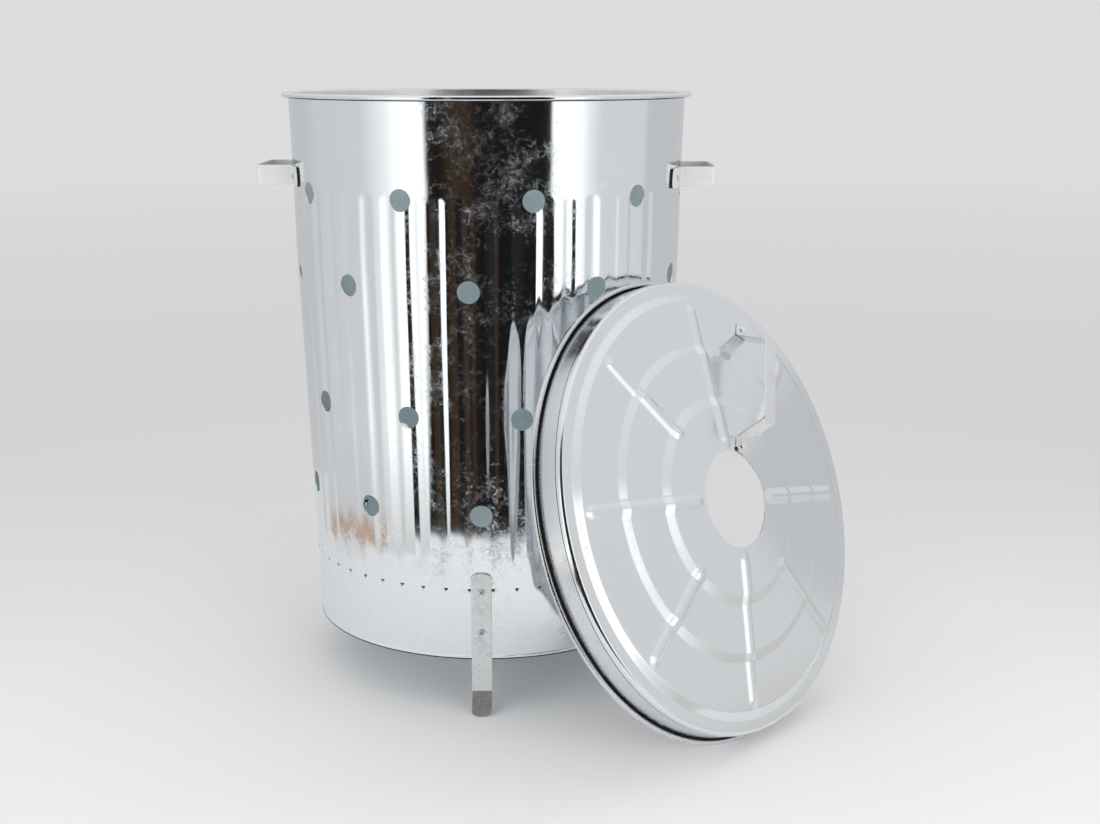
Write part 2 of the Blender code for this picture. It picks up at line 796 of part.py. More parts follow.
def centre_on_floor():
    """Moves the whole set so its footprint's middle is the origin."""
    bpy.context.view_layer.update()
    points = [o.matrix_world @ v.co for o in objects for v in o.data.vertices]
    middle = Vector((
        0.5 * (min(p.x for p in points) + max(p.x for p in points)),
        0.5 * (min(p.y for p in points) + max(p.y for p in points)),
        min(p.z for p in points),
    ))
    for obj in objects:
        obj.matrix_world = Matrix.Translation(-middle) @ obj.matrix_world


clear_scene()
build_body()
build_base_plate()
for leg_place, leg_name in enumerate(("leg_front", "leg_right", "leg_left")):
    build_leg(leg_name, leg_place)
build_side_handle("side_handle_left", -1)
build_side_handle("side_handle_right", 1)
build_body_rivets()
build_lid()
centre_on_floor()
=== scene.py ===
import math

import bmesh
import bpy
from mathutils import Matrix, Vector


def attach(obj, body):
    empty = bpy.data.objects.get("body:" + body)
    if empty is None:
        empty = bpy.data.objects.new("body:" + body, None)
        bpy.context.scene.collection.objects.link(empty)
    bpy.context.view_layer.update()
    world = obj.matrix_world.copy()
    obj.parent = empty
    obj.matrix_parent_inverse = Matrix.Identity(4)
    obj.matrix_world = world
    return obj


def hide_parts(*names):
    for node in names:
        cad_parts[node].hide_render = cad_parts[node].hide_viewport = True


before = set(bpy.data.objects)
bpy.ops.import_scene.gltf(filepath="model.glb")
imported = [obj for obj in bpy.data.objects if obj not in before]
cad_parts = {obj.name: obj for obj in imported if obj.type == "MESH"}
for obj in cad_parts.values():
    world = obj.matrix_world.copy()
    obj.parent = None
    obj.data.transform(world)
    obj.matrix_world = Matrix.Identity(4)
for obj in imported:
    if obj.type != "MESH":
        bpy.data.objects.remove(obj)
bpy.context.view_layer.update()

# Sizes in metres. The bin's axis is vertical and stands at AXIS on the floor. Angles round the
# bin are measured from the photograph's front, -Y, towards +X.
AXIS = Vector((-0.078176, 0.089568, 0.0))
UP = Vector((0.0, 0.0, 1.0))
SHEET = 0.0008
GAP = 0.0003
WELD = 0.000002
TURN = 2.0 * math.pi

# Wall, from its hemmed lower edge to its rolled rim.
EDGE_Z, EDGE_R, TAPER = 0.0611, 0.2043, 0.0378
RIM_Z, RIM_OUT, RIM_BEAD = 0.6693, 0.00765, 0.0026
RIM_LIP_R, RIM_LIP_RISE, RIM_LIP_OUT = 0.0014, 0.0004, 0.0006
HEM_HEIGHT, HEM_PROUD, HEM_FOOT = 0.004, 0.0008, 0.0015

# Flutes pressed into the wall, the lands between them and the nicks at their feet.
FLUTES, FLUTE_PHASE = 50, math.radians(3.0)
FLUTE_TOP, FLUTE_BOTTOM = 0.57, 0.1396
FLUTE_WIDTH, FLUTE_FLOOR, FLUTE_DEPTH = 0.0165, 0.005, 0.0011
FLUTE_WAVES, FLUTES_UNLIKE, FLUTE_MEAN, FLUTE_SPREAD = (14.0, 6.0), 3.7, 0.95, 0.7
FOOT_DEPTH, FOOT_SLOPE, FOOT_SOFT = 0.25, 14.0, 0.3
LAND_PROUD, LAND_FULL_Z, LAND_RIDGE_SOFT, LAND_END_SOFT = 0.0016, 0.5, 0.2, 0.06
NICK_R, NICK_RISE, NICK_REACH = 0.0032, 0.0016, 0.006
LUG_TILT, LUG_SINK, LUG_SHARE = math.radians(-33.0), 0.0026, 0.96

# The wall's rings of points lie close together where the flutes end.
WALL_COLUMNS = 900
WALL_HEIGHTS = (
    [0.0662, 0.08, 0.1, 0.118, 0.13, 0.134, 0.1364]
    + [0.0001 * k for k in range(1376, 1496, 12)]
    + [0.16, 0.19, 0.25, 0.31, 0.37, 0.42, 0.45, 0.47, 0.485, 0.495]
    + [0.505, 0.515, 0.53, 0.545, 0.557]
    + [0.0001 * k for k in range(5600, 5716, 12)]
    + [0.5745, 0.585, 0.61, 0.64, 0.66]
)

# Vents: each ring's height, the angle of its first vent, and how far single vents stray.
VENT_R, VENTS_PER_RING = 0.012, 10
VENT_RINGS = (
    (0.5644, -59.3, {0: 0.4, 1: 1.4, 2: 1.8, 3: -0.7}),
    (0.4701, -74.6, {0: 1.0, 1: -1.9, 2: -0.6, 4: 1.7}),
    (0.3324, -56.8, {0: 0.8, 1: -0.7, 2: -3.7}),
    (0.2259, -71.9, {0: 1.1, 1: -0.5, 2: -0.5}),
)

# Straps and rivets.
BEVEL, BEVEL_FROM = 0.0004, math.radians(40.0)
TIP_ANGLES = (12, 25, 38, 51, 64, 77, 90)
BEND_STEPS = 7
LEG_WIDTH, LEG_THICK, LEG_BEND_R, LEG_TIP = 0.0225, 0.002, 0.004, 0.0055
LEG_TOP_Z, LEG_CREASE_Z, LEG_BEND_Z, LEG_TOE_OUT = 0.1614, 0.1015, 0.025, 0.0184
LEG_RIVET_Z = (0.1401, 0.0939)
GRIP_Z, GRIP_RIGHT_DROP, GRIP_STANDOFF, GRIP_RIVET_IN = 0.5795, 0.002, 0.036598, 0.0195
GRIP_HEIGHT, GRIP_THICK, GRIP_BEND_R, GRIP_TIP = 0.0225, 0.002, 0.003, 0.004
GRIP_HALF_SPAN, GRIP_FLANGE, GRIP_FLANGE_STEPS = 0.046, 0.041, 8
HEAD_R, HEAD_H, SHANK_R, TAIL_R, TAIL_H = 0.0038, 0.002, 0.0018, 0.0032, 0.0013
BALL_COLUMNS, BALL_RINGS, SHANK_COLUMNS = 40, 20, 24

# Lid. Its profile is (r, height over the corner plane).
LID_PROFILE = (
    (0.051, 0.024),
    (0.1003, 0.0198),
    (0.1108, 0.0158),
    (0.1591, 0.0115),
    (0.1687, 0.0079),
    (0.2179, 0.0042),
    (0.2268, 0.0),
)
LID_CORNER_R, LID_ROUND, LID_SKIRT, LID_FLARE = 0.241, 0.004, 0.0075, 0.0006
LID_COLUMNS, LID_BEND_R, LID_SPACING = 720, 0.0035, 0.0034
RIBS, RIB_PHASE = 8, math.radians(35.5)
RIB_WIDTH, RIB_CREST, RIB_HEIGHT = 0.017, 0.0036, 0.0029
RIB_INNER, RIB_SHORT_INNER, RIB_OUTER = 0.056, 0.096, 0.216
BAND_TOP, BEAD_DROP, BEAD_OUT, BEAD_R, BAND_OUT = 0.0045, 0.0323, 0.0049, 0.003, 0.001
BAND_COLUMNS, BAND_ROLL, BAND_GUTTER = 360, 0.0026, 0.0014
GUTTER_R, GUTTER_LIP_R = 0.0008, 0.0006
KNOB_ANGLE, KNOB_WIDTH, KNOB_THICK = math.radians(55.9), 0.0182, 0.002
KNOB_OUT = Vector((math.cos(KNOB_ANGLE), math.sin(KNOB_ANGLE), 0.0))
KNOB_BEND_R, KNOB_TIP = 0.0035, 0.0055
KNOB_RADII = (0.216, 0.198, 0.182, 0.085, 0.07, 0.0516)
KNOB_RISES = (0.0423, 0.0362)
LID_BEARING, LID_FACING, LID_LEAN = (math.radians(a) for a in (48.15, 49.58, 19.33))


class Number:
    """A number inside a node tree, so that its formulas read as plain sums."""

    def __init__(self, tree, socket):
        self.tree, self.socket = tree, socket


def operator(name, swapped):
    def apply(number, other):
        return number.tree.math(name, *((other, number) if swapped else (number, other)))

    return apply


for sign, name in (("add", "ADD"), ("sub", "SUBTRACT"), ("mul", "MULTIPLY"), ("truediv", "DIVIDE")):
    setattr(Number, f"__{sign}__", operator(name, False))
    setattr(Number, f"__r{sign}__", operator(name, True))


class Tree:
    """Lays the nodes of one geometry or shader tree and joins their sockets."""

    def __init__(self, tree):
        self.nodes, self.links = tree.nodes, tree.links
        self.tree = tree

    def join(self, value, socket):
        if isinstance(value, Number):
            value = value.socket
        if isinstance(value, bpy.types.NodeSocket):
            self.links.new(value, socket)
        elif value is not None:
            socket.default_value = value

    def put(self, kind, *values, out=0, inputs=None, **settings):
        node = self.nodes.new(kind)
        for key, value in settings.items():
            setattr(node, key, value)
        for i, value in enumerate(values):
            self.join(value, node.inputs[i])
        for key, value in (inputs or {}).items():
            self.join(value, node.inputs[key])
        return node.outputs[out]

    def geo(self, kind, *values, **more):
        return self.put("GeometryNode" + kind, *values, **more)

    def math(self, operation, *values, clamp=False):
        node = self.put("ShaderNodeMath", *values, operation=operation, use_clamp=clamp)
        return Number(self, node)

    def least(self, a, b, soft=0.0):
        return self.math("SMOOTH_MIN", a, b, soft) if soft else self.math("MINIMUM", a, b)

    def most(self, a, b, soft=0.0):
        return self.math("SMOOTH_MAX", a, b, soft) if soft else self.math("MAXIMUM", a, b)

    def below(self, a, b):
        return self.math("LESS_THAN", a, b)

    def above(self, a, b):
        return self.math("GREATER_THAN", a, b)

    def between(self, value, low, high):
        """1 where a value lies between two others."""
        return self.above(value, low) * self.below(value, high)

    def hypot(self, a, b):
        return self.math("SQRT", a * a + b * b)

    def vector(self, x, y, z):
        return self.put("ShaderNodeCombineXYZ", x, y, z)

    def around(self, turn, r, z):
        """A point at an angle round the vertical axis, from the front."""
        return self.vector(r * self.math("SINE", turn), -1.0 * r * self.math("COSINE", turn), z)

    def split(self, vector):
        node = self.put("ShaderNodeSeparateXYZ", vector).node
        return [Number(self, socket) for socket in node.outputs]

    def position(self):
        return self.split(self.geo("InputPosition"))

    def index(self):
        return Number(self, self.geo("InputIndex"))

    def attribute(self, name, kind):
        return self.geo("InputNamedAttribute", inputs={"Name": name}, data_type=kind)

    def cylinder(self, vertices, radius, depth):
        inputs = {"Vertices": vertices, "Radius": radius, "Depth": depth}
        return self.geo("MeshCylinder", inputs=inputs)

    def moved(self, shape, **change):
        return self.geo("Transform", inputs={"Geometry": shape, **change})

    def shaped(self, shape, **change):
        """A shape whose points take a new Position, or are pushed by an Offset."""
        return self.geo("SetPosition", inputs={"Geometry": shape, **change})

    def copies(self, points, shape, rotation):
        inputs = {"Points": points, "Instance": shape, "Rotation": rotation}
        return self.geo("InstanceOnPoints", inputs=inputs)

    def joined(self, *shapes):
        node = self.nodes.new("GeometryNodeJoinGeometry")
        for shape in shapes:
            self.links.new(shape, node.inputs[0])
        return node.outputs[0]

    def noise(self, point, **inputs):
        return Number(self, self.put("ShaderNodeTexNoise", inputs={"Vector": point, **inputs}))

    def mix(self, factor, first, second):
        """A colour between two others. The mix node's colours are its sockets 6 and 7."""
        inputs = {"Factor": factor, 6: first, 7: second}
        return self.put("ShaderNodeMix", data_type="RGBA", inputs=inputs, out=2)


def new_shape_tree(name, sizes, *materials):
    """Starts a geometry tree with named sizes. Returns it, its geometry and its inputs."""
    group = bpy.data.node_groups.new(name, "GeometryNodeTree")
    face = group.interface
    face.new_socket(name="Shape", in_out="INPUT", socket_type="NodeSocketGeometry")
    for label, value in sizes.items():
        kind = "NodeSocketFloat" if type(value) is float else "NodeSocketInt"
        face.new_socket(name=label, in_out="INPUT", socket_type=kind).default_value = value
    for label in ("Material", *materials):
        face.new_socket(name=label, in_out="INPUT", socket_type="NodeSocketMaterial")
    face.new_socket(name="Shape", in_out="OUTPUT", socket_type="NodeSocketGeometry")
    tree = Tree(group)
    outputs = group.nodes.new("NodeGroupInput").outputs
    given = {label: Number(tree, outputs[label]) for label in (*sizes, "Material", *materials)}
    return tree, outputs["Shape"], given


def end_shape_tree(tree, shape, size, *parts):
    """Realizes what the tree made and gives it its material, then its parts theirs."""
    shape = tree.geo("RealizeInstances", shape)
    for chosen, name in ((None, "Material"), *parts):
        shape = tree.geo("SetMaterial", shape, chosen, size[name])
    end = tree.nodes.new("NodeGroupOutput")
    tree.join(shape, end.inputs["Shape"])
    return tree.tree


def turn_profile(tree, profile, columns):
    """Turns the profile's points round the vertical axis into one closed skin."""
    count = Number(tree, tree.geo("AttributeDomainSize", profile, component="MESH"))
    grid = tree.geo("MeshGrid", 1.0, 1.0, columns + 1, count)
    index = tree.index()
    column = tree.math("FLOOR", (index + 0.5) / count)
    here = tree.geo("InputPosition")
    inputs = {"Geometry": profile, "Value": here, "Index": index - column * count}
    place = tree.geo("SampleIndex", inputs=inputs, data_type="FLOAT_VECTOR")
    r, _, z = tree.split(place)
    turn = column * TURN / columns
    skin = tree.shaped(grid, Position=tree.around(turn, r, z))
    return tree.geo("MergeByDistance", inputs={"Geometry": skin, "Distance": WELD})


def stadium(tree, across, along, low, high, half):
    """Distance from the middle line of a mark with round ends."""
    past = tree.most(tree.most(along - (high - half), (low + half) - along), 0.0)
    return tree.hypot(across, past)


def pressed(tree, distance, half, flat, height, soft):
    """Height of a pressed mark with sloping sides and rounded corners."""
    slope = height / (half - flat)
    side = tree.least((half - distance) * slope, height, soft)
    return tree.most(side, 0.0, soft)


def facing_out(tree, place, taper):
    """Rotation whose Z points out of the tapered wall and whose Y points up."""
    x, y, _ = tree.split(place)
    out = tree.vector(x, y, -1.0 * taper * tree.hypot(x, y))
    return tree.put(
        "FunctionNodeAxesToRotation", out, (0.0, 0.0, 1.0), primary_axis="Z", secondary_axis="Y"
    )


def fluted_wall_tree():
    sizes = {
        "Columns": WALL_COLUMNS,
        "Flutes": FLUTES,
        "Flute phase": FLUTE_PHASE,
        "Flute half width": 0.5 * FLUTE_WIDTH,
        "Flute half floor": 0.5 * FLUTE_FLOOR,
        "Flute depth": FLUTE_DEPTH,
        "Flute bottom": FLUTE_BOTTOM,
        "Flute top": FLUTE_TOP,
        "Flute softness": 0.0005,
        "Flute unevenness": 0.0005,
        "Flute overrun": 0.001,
        "Seed": 3.0,
        "Middle radius": wall_r(0.5 * (FLUTE_TOP + FLUTE_BOTTOM)),
        "Land height": LAND_PROUD,
        "Land full at": LAND_FULL_Z,
        "Pressed from": EDGE_Z + 0.006,
        "Pressed to": RIM_Z - 0.004,
        "Taper": TAPER,
        "Vent radius": VENT_R,
        "Vent corners": 64,
        "Punch length": 0.02,
        "Nick radius": NICK_R,
        "Nick depth": NICK_REACH,
        "Sheet": SHEET,
        "Facing inward": -0.5,
        "Lining to": RIM_Z - 0.03,
        "Rim gap from": RIM_Z - 0.005,
        "Rim gap to": RIM_Z - 0.0021,
        "Rim gap inner": 0.0004,
        "Rim gap outer": 0.0062,
        "Lug inside": -0.001,
        "Hem underside": EDGE_Z + 0.0013,
    }
    materials = "Lining", "Inside of the rim", "Painted shade"
    tree, shape, size = new_shape_tree("fluted wall", sizes, *materials)
    mark = tree.attribute("vent", "BOOLEAN")
    vents, profile = tree.geo("SeparateGeometry", shape, mark).node.outputs

    # The flutes and lands.
    skin = turn_profile(tree, profile, size["Columns"])
    x, y, z = tree.position()
    r = tree.hypot(x, y)
    pitch = TURN / size["Flutes"]
    angle = tree.math("ARCTAN2", x, -1.0 * y)
    swing = tree.math("WRAP", angle - size["Flute phase"], pitch * 0.5, pitch * -0.5)
    bottom, top = size["Flute bottom"], size["Flute top"]
    number = tree.math("ROUND", (angle - size["Flute phase"]) / pitch)
    uneven = []
    for k, along in enumerate(FLUTE_WAVES):
        point = tree.vector(number * FLUTES_UNLIKE, z * along, size["Seed"] + k)
        uneven.append(tree.noise(point, Scale=1.0, Detail=2.0) - 0.5)
    half, soft = size["Flute half width"], size["Flute softness"]
    foot = bottom - size["Flute overrun"]
    distance = stadium(tree, swing * size["Middle radius"], z, foot, top, half)
    distance = distance + uneven[0] * 2.0 * size["Flute unevenness"]
    run_out = tree.least(FOOT_DEPTH + (z - bottom) * FOOT_SLOPE, 1.0, FOOT_SOFT)
    depth = size["Flute depth"] * (FLUTE_MEAN + uneven[1] * FLUTE_SPREAD) * run_out
    flute = pressed(tree, distance, half, size["Flute half floor"], depth, soft)
    rise = (z - bottom) / (size["Land full at"] - bottom)
    fall = (top - z) / (top - size["Land full at"])
    land = tree.most(tree.least(rise, fall, LAND_RIDGE_SOFT), 0.0, LAND_END_SOFT)
    land = land * size["Land height"]
    on_wall = tree.below(z, size["Pressed to"]) * tree.above(z, size["Pressed from"])
    push = (land - flute) * on_wall / r
    skin = tree.shaped(skin, Offset=tree.vector(x * push, y * push, 0.0))
    worked = tree.math("SUBTRACT", 1.0, distance / half, clamp=True)
    inputs = {"Geometry": skin, "Name": "worked", "Value": worked}
    skin = tree.geo("StoreNamedAttribute", inputs=inputs, data_type="FLOAT", domain="POINT")

    # The vents, and a three-sided nick and its bent-in tongue at the foot of each flute.
    out = facing_out(tree, tree.geo("InputPosition"), size["Taper"])
    bore = tree.cylinder(size["Vent corners"], size["Vent radius"], size["Punch length"])
    bores = tree.copies(vents, bore, out)
    turn = size["Flute phase"] + tree.index() * pitch
    nick_z = bottom + NICK_RISE
    nick_r = EDGE_R + (nick_z - EDGE_Z) * size["Taper"]
    spots = tree.geo("Points", size["Flutes"], tree.around(turn, nick_r, nick_z))
    upright = math.radians(-90.0)
    wedge = tree.cylinder(3, size["Nick radius"], size["Nick depth"])
    wedge = tree.moved(wedge, Rotation=(0.0, 0.0, upright))
    nicks = tree.copies(spots, wedge, out)
    cutters = tree.geo("RealizeInstances", tree.joined(bores, nicks))
    inputs = {"Mesh 1": skin, "Mesh 2": cutters}
    skin = tree.geo("MeshBoolean", inputs=inputs, operation="DIFFERENCE", solver="EXACT")
    tongue = tree.cylinder(3, size["Nick radius"] * LUG_SHARE, size["Sheet"])
    tongue = tree.moved(
        tongue, Translation=(0.0, 0.0, -LUG_SINK), Rotation=(LUG_TILT, 0.0, upright)
    )
    lugs = tree.copies(spots, tongue, out)

    # Which faces are inside, and which get painted shade: the gap under the rolled rim, the tongues
    # in the nicks and the hem's underside.
    facing_x, facing_y, _ = tree.split(tree.geo("InputNormal"))
    proud = r - (EDGE_R + (z - EDGE_Z) * size["Taper"])
    inward = tree.below((x * facing_x + y * facing_y) / r, size["Facing inward"])
    low = inward * tree.below(z, size["Lining to"])
    gap = tree.between(z, size["Rim gap from"], size["Rim gap to"])
    gap = gap * tree.between(proud, size["Rim gap inner"], size["Rim gap outer"])
    lug = tree.between(z, nick_z - NICK_REACH, nick_z + NICK_REACH)
    lug = lug * tree.below(proud, size["Lug inside"])
    # Painted shade: these faces take a near-black colour for the shadow in the rim's gap, the nicks
    # and under the hem.
    dark = tree.most(tree.most(gap, lug), tree.below(z, size["Hem underside"]))
    parts = (inward, "Inside of the rim"), (low, "Lining"), (dark, "Painted shade")
    return end_shape_tree(tree, tree.joined(lugs, skin), size, *parts)


def ribbed_lid_tree():
    sizes = {
        "Columns": LID_COLUMNS,
        "Ribs": RIBS,
        "Rib phase": RIB_PHASE,
        "Rib half width": 0.5 * RIB_WIDTH,
        "Rib half crest": 0.5 * RIB_CREST,
        "Rib height": RIB_HEIGHT,
        "Rib softness": 0.0008,
        "Rib starts": RIB_INNER,
        "Short rib starts": RIB_SHORT_INNER,
        "Rib ends": RIB_OUTER,
        "Skirt foot": -LID_SKIRT + 0.0011,
    }
    tree, shape, size = new_shape_tree("ribbed lid", sizes, "Painted shade")
    skin = turn_profile(tree, shape, size["Columns"])
    x, y, z = tree.position()
    r = tree.hypot(x, y)
    sector = TURN / size["Ribs"]
    angle = tree.math("ARCTAN2", y, x)
    swing = tree.math("WRAP", angle - size["Rib phase"], sector * 0.5, sector * -0.5)
    across, along = r * tree.math("SINE", swing), r * tree.math("COSINE", swing)
    number = tree.math("ROUND", (angle - size["Rib phase"]) / sector)
    long = tree.math("WRAP", number, 2.0, 0.0)
    starts = size["Short rib starts"] + (size["Rib starts"] - size["Short rib starts"]) * long
    half, crest, height = (size["Rib " + key] for key in ("half width", "half crest", "height"))
    distance = stadium(tree, across, along, starts, size["Rib ends"], half)
    lift = pressed(tree, distance, half, crest, height, size["Rib softness"])
    skin = tree.shaped(skin, Offset=tree.vector(0.0, 0.0, lift))
    # The skirt's lowest edge takes painted shade, a dark line for the shadow where it meets the
    # band.
    foot = tree.below(z, size["Skirt foot"])
    return end_shape_tree(tree, skin, size, (foot, "Painted shade"))


def rolled_band_tree():
    sizes = {
        "Columns": BAND_COLUMNS,
        "Gap from": LID_CORNER_R + BAND_OUT - 0.0004,
        "Gap to": LID_CORNER_R + BEAD_OUT + BEAD_R - 0.0043,
        "Gap floor": -BEAD_DROP - 0.0019,
        "Gap top": -BEAD_DROP + BEAD_R,
    }
    tree, shape, size = new_shape_tree("rolled band", sizes, "Painted shade")
    skin = turn_profile(tree, shape, size["Columns"])
    x, y, z = tree.position()
    # The gutter of the rolled bead takes painted shade, a dark line for the shadow inside the roll.
    gap = tree.between(tree.hypot(x, y), size["Gap from"], size["Gap to"])
    gap = gap * tree.between(z, size["Gap floor"], size["Gap top"])
    return end_shape_tree(tree, skin, size, (gap, "Painted shade"))


def rivet_tree():
    sizes = {
        "Head radius": HEAD_R,
        "Head height": HEAD_H,
        "Shank radius": SHANK_R,
        "Tail radius": TAIL_R,
        "Tail height": TAIL_H,
        "Dimple slope": 1.7,
        "Dimple depth": 0.9,
        "Star points": 5.0,
        "Star height": 0.8,
        "Grip": LEG_THICK + SHEET,
    }
    tree, shape, size = new_shape_tree("set rivets", sizes)
    parts = []
    for end, at in (("Head ", 0.0), ("Tail ", -1.0 * size["Grip"])):
        ball = tree.geo("MeshUVSphere", BALL_COLUMNS, BALL_RINGS, 1.0)
        x, y, z = tree.position()
        reach = tree.hypot(x, y)
        dimple = tree.most(0.0, 1.0 - reach * size["Dimple slope"]) * size["Dimple depth"]
        star = tree.math("COSINE", tree.math("ARCTAN2", y, x) * size["Star points"])
        star = star * reach * (1.0 - reach) * size["Star height"]
        cap = tree.shaped(ball, Position=tree.vector(x, y, z * (1.0 - dimple + star)))
        radius, height = size[end + "radius"], size[end + "height"]
        scale = tree.vector(radius, radius, height)
        parts.append(tree.moved(cap, Translation=tree.vector(0.0, 0.0, at), Scale=scale))
    shank = tree.cylinder(SHANK_COLUMNS, size["Shank radius"], size["Grip"])
    parts.append(tree.moved(shank, Translation=tree.vector(0.0, 0.0, size["Grip"] * -0.5)))
    out = {"Vector": tree.attribute("out", "FLOAT_VECTOR")}
    turn = tree.put("FunctionNodeAlignRotationToVector", inputs=out, axis="Z")
    rivets = tree.copies(shape, tree.joined(*parts), turn)
    return end_shape_tree(tree, rivets, size)


def leg_copies_tree():
    sizes = {"Legs": 3, "Flutes": FLUTES, "Flute phase": FLUTE_PHASE}
    tree, shape, size = new_shape_tree("legs round the bin", sizes)
    land = tree.math("ROUND", tree.index() * size["Flutes"] / size["Legs"])
    turn = size["Flute phase"] + (land - 0.5) * TURN / size["Flutes"]
    spots = tree.geo("Points", size["Legs"])
    legs = tree.copies(spots, shape, tree.vector(0.0, 0.0, turn))
    return end_shape_tree(tree, legs, size)


def grip_copies_tree():
    sizes = {
        "Right drop": GRIP_RIGHT_DROP,
        "Cut end from": GRIP_HALF_SPAN + GRIP_FLANGE - GRIP_TIP,
        "Cut end facing": 0.6,
    }
    tree, shape, size = new_shape_tree("handles on both sides", sizes, "Cut end")
    index = tree.index()
    spot = tree.vector(0.0, 0.0, (index - 1.0) * size["Right drop"])
    spots = tree.geo("Points", 2, spot)
    grips = tree.copies(spots, shape, tree.vector(0.0, 0.0, index * math.pi))
    _, along, _ = tree.position()
    _, facing, _ = tree.split(tree.geo("InputNormal"))
    # The strap's ends take painted shade, a dark slit for the shadow where each flange end stands
    # off the wall.
    end = tree.above(tree.math("ABSOLUTE", along), size["Cut end from"])
    end = end * tree.above(tree.math("ABSOLUTE", facing), size["Cut end facing"])
    return end_shape_tree(tree, grips, size, (end, "Cut end"))


def wall_r(z):
    """Outer radius of the plain tapered wall."""
    return EDGE_R + TAPER * (z - EDGE_Z)


def around(theta, r, z):
    """A point at an angle round the bin from its front."""
    return Vector((r * math.sin(theta), -r * math.cos(theta), z))


def outward(theta):
    """The wall's normal at an angle round the bin."""
    return around(theta, 1.0, -TAPER).normalized()


def land_proud(z):
    """How far the lands between the flutes stand out of the plain wall."""
    rise = (z - FLUTE_BOTTOM) / (LAND_FULL_Z - FLUTE_BOTTOM)
    fall = (FLUTE_TOP - z) / (FLUTE_TOP - LAND_FULL_Z)
    return LAND_PROUD * max(0.0, min(rise, fall))


def leg_angle(place):
    """Angle of the land that a leg stands on: front, right or left."""
    return FLUTE_PHASE + (round(place * FLUTES / 3.0) - 0.5) * TURN / FLUTES


def leg_offset(z):
    """Gap between the wall and the inner face of a leg, which clears the hem."""
    if z >= LEG_CREASE_Z:
        return GAP
    return GAP + HEM_PROUD * (LEG_CREASE_Z - z) / (LEG_CREASE_Z - EDGE_Z - HEM_HEIGHT)


def lid_pose():
    """Places the lid on its bead's edge, leaning back against the wall."""
    normal = around(LID_FACING, math.cos(LID_LEAN), math.sin(LID_LEAN))
    side = Vector((math.cos(LID_FACING), math.sin(LID_FACING), 0.0))
    up = normal.cross(side)
    bead = LID_CORNER_R + BEAD_OUT
    height = BEAD_DROP * normal.z + bead * up.z + BEAD_R
    touch_z = 2.0 * bead * up.z + BEAD_R
    touch_r = wall_r(touch_z) + land_proud(touch_z) + BEAD_R + GAP
    distance = touch_r + BEAD_DROP * math.cos(LID_LEAN) + bead * math.sin(LID_LEAN)
    centre = around(LID_BEARING, distance, height) + AXIS
    return Matrix.Translation(centre) @ Matrix((side, up, normal)).transposed().to_4x4()


PLACES = {"bin": Matrix.Translation(AXIS), "lid": lid_pose()}


def bend(path, radius, steps):
    """Replaces each inner corner of a path by a curve."""
    path = [Vector(p) for p in path]
    out = [path[0]]
    for before, corner, after in zip(path, path[1:], path[2:]):
        a, b = before - corner, after - corner
        angle = a.angle(b)
        reach = min(radius / math.tan(0.5 * angle), 0.48 * a.length, 0.48 * b.length)
        start, end = corner + a.normalized() * reach, corner + b.normalized() * reach
        for i in range(steps + 1):
            t = i / steps
            out.append(start * (1 - t) ** 2 + corner * 2 * t * (1 - t) + end * t * t)
    out.append(path[-1])
    return out


def spaced(path, longest):
    """Adds points so that no piece of a path is longer than a length."""
    out = [path[0]]
    for a, b in zip(path, path[1:]):
        count = max(1, math.ceil((b - a).length / longest))
        out += [a.lerp(b, i / count) for i in range(1, count + 1)]
    return out


def arc(centre, radius, first, last, steps):
    """Points (r, height) on an arc, its angles in degrees from outward towards up."""
    points = []
    for i in range(steps + 1):
        a = math.radians(first + (last - first) * i / steps)
        points.append((centre[0] + radius * math.cos(a), centre[1] + radius * math.sin(a)))
    return points


def profile_mesh(name, points):
    """A closed line of (r, height) points for turning; the last point meets the first."""
    mesh = bpy.data.meshes.new(name)
    points = [(p[0], 0.0, p[1]) for p in points]
    points.append(points[0])
    mesh.from_pydata(points, [(i, i + 1) for i in range(len(points) - 1)], [])
    return mesh


def new_object(name, data):
    obj = bpy.data.objects.new(name, data)
    bpy.context.scene.collection.objects.link(obj)
    return obj


def evaluated_mesh(obj):
    """What an object's modifiers make of its mesh, as a plain mesh."""
    graph = bpy.context.evaluated_depsgraph_get()
    return bpy.data.meshes.new_from_object(obj.evaluated_get(graph))


def finished(
    name, mesh, body, nodes, material, tree=None, sizes=None, bevel=0.0, sharp=30.0
):
    """Grows a mesh with its tree, bevels it, puts it in place and hands it to its body."""
    obj = new_object(name, mesh)
    if tree:
        grow = obj.modifiers.new("shape", "NODES")
        grow.node_group = tree
        values = {"Material": material, **(sizes or {})}
        for item in tree.interface.items_tree:
            if item.in_out == "INPUT" and item.name in values:
                grow[item.identifier] = values[item.name]
    if bevel:
        edge = obj.modifiers.new("edges", "BEVEL")
        edge.width, edge.segments = bevel, 1
        edge.limit_method, edge.angle_limit = "ANGLE", BEVEL_FROM
    made = evaluated_mesh(obj)
    obj.modifiers.clear()
    obj.data = made
    made.name = name
    made.transform(PLACES[body])
    bm = bmesh.new()
    bm.from_mesh(made)
    bmesh.ops.recalc_face_normals(bm, faces=bm.faces)
    bm.to_mesh(made)
    bm.free()
    if not tree:
        made.materials.append(material)
    made.shade_smooth()
    made.set_sharp_from_angle(angle=math.radians(sharp))
    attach(obj, body)
    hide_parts(*nodes)


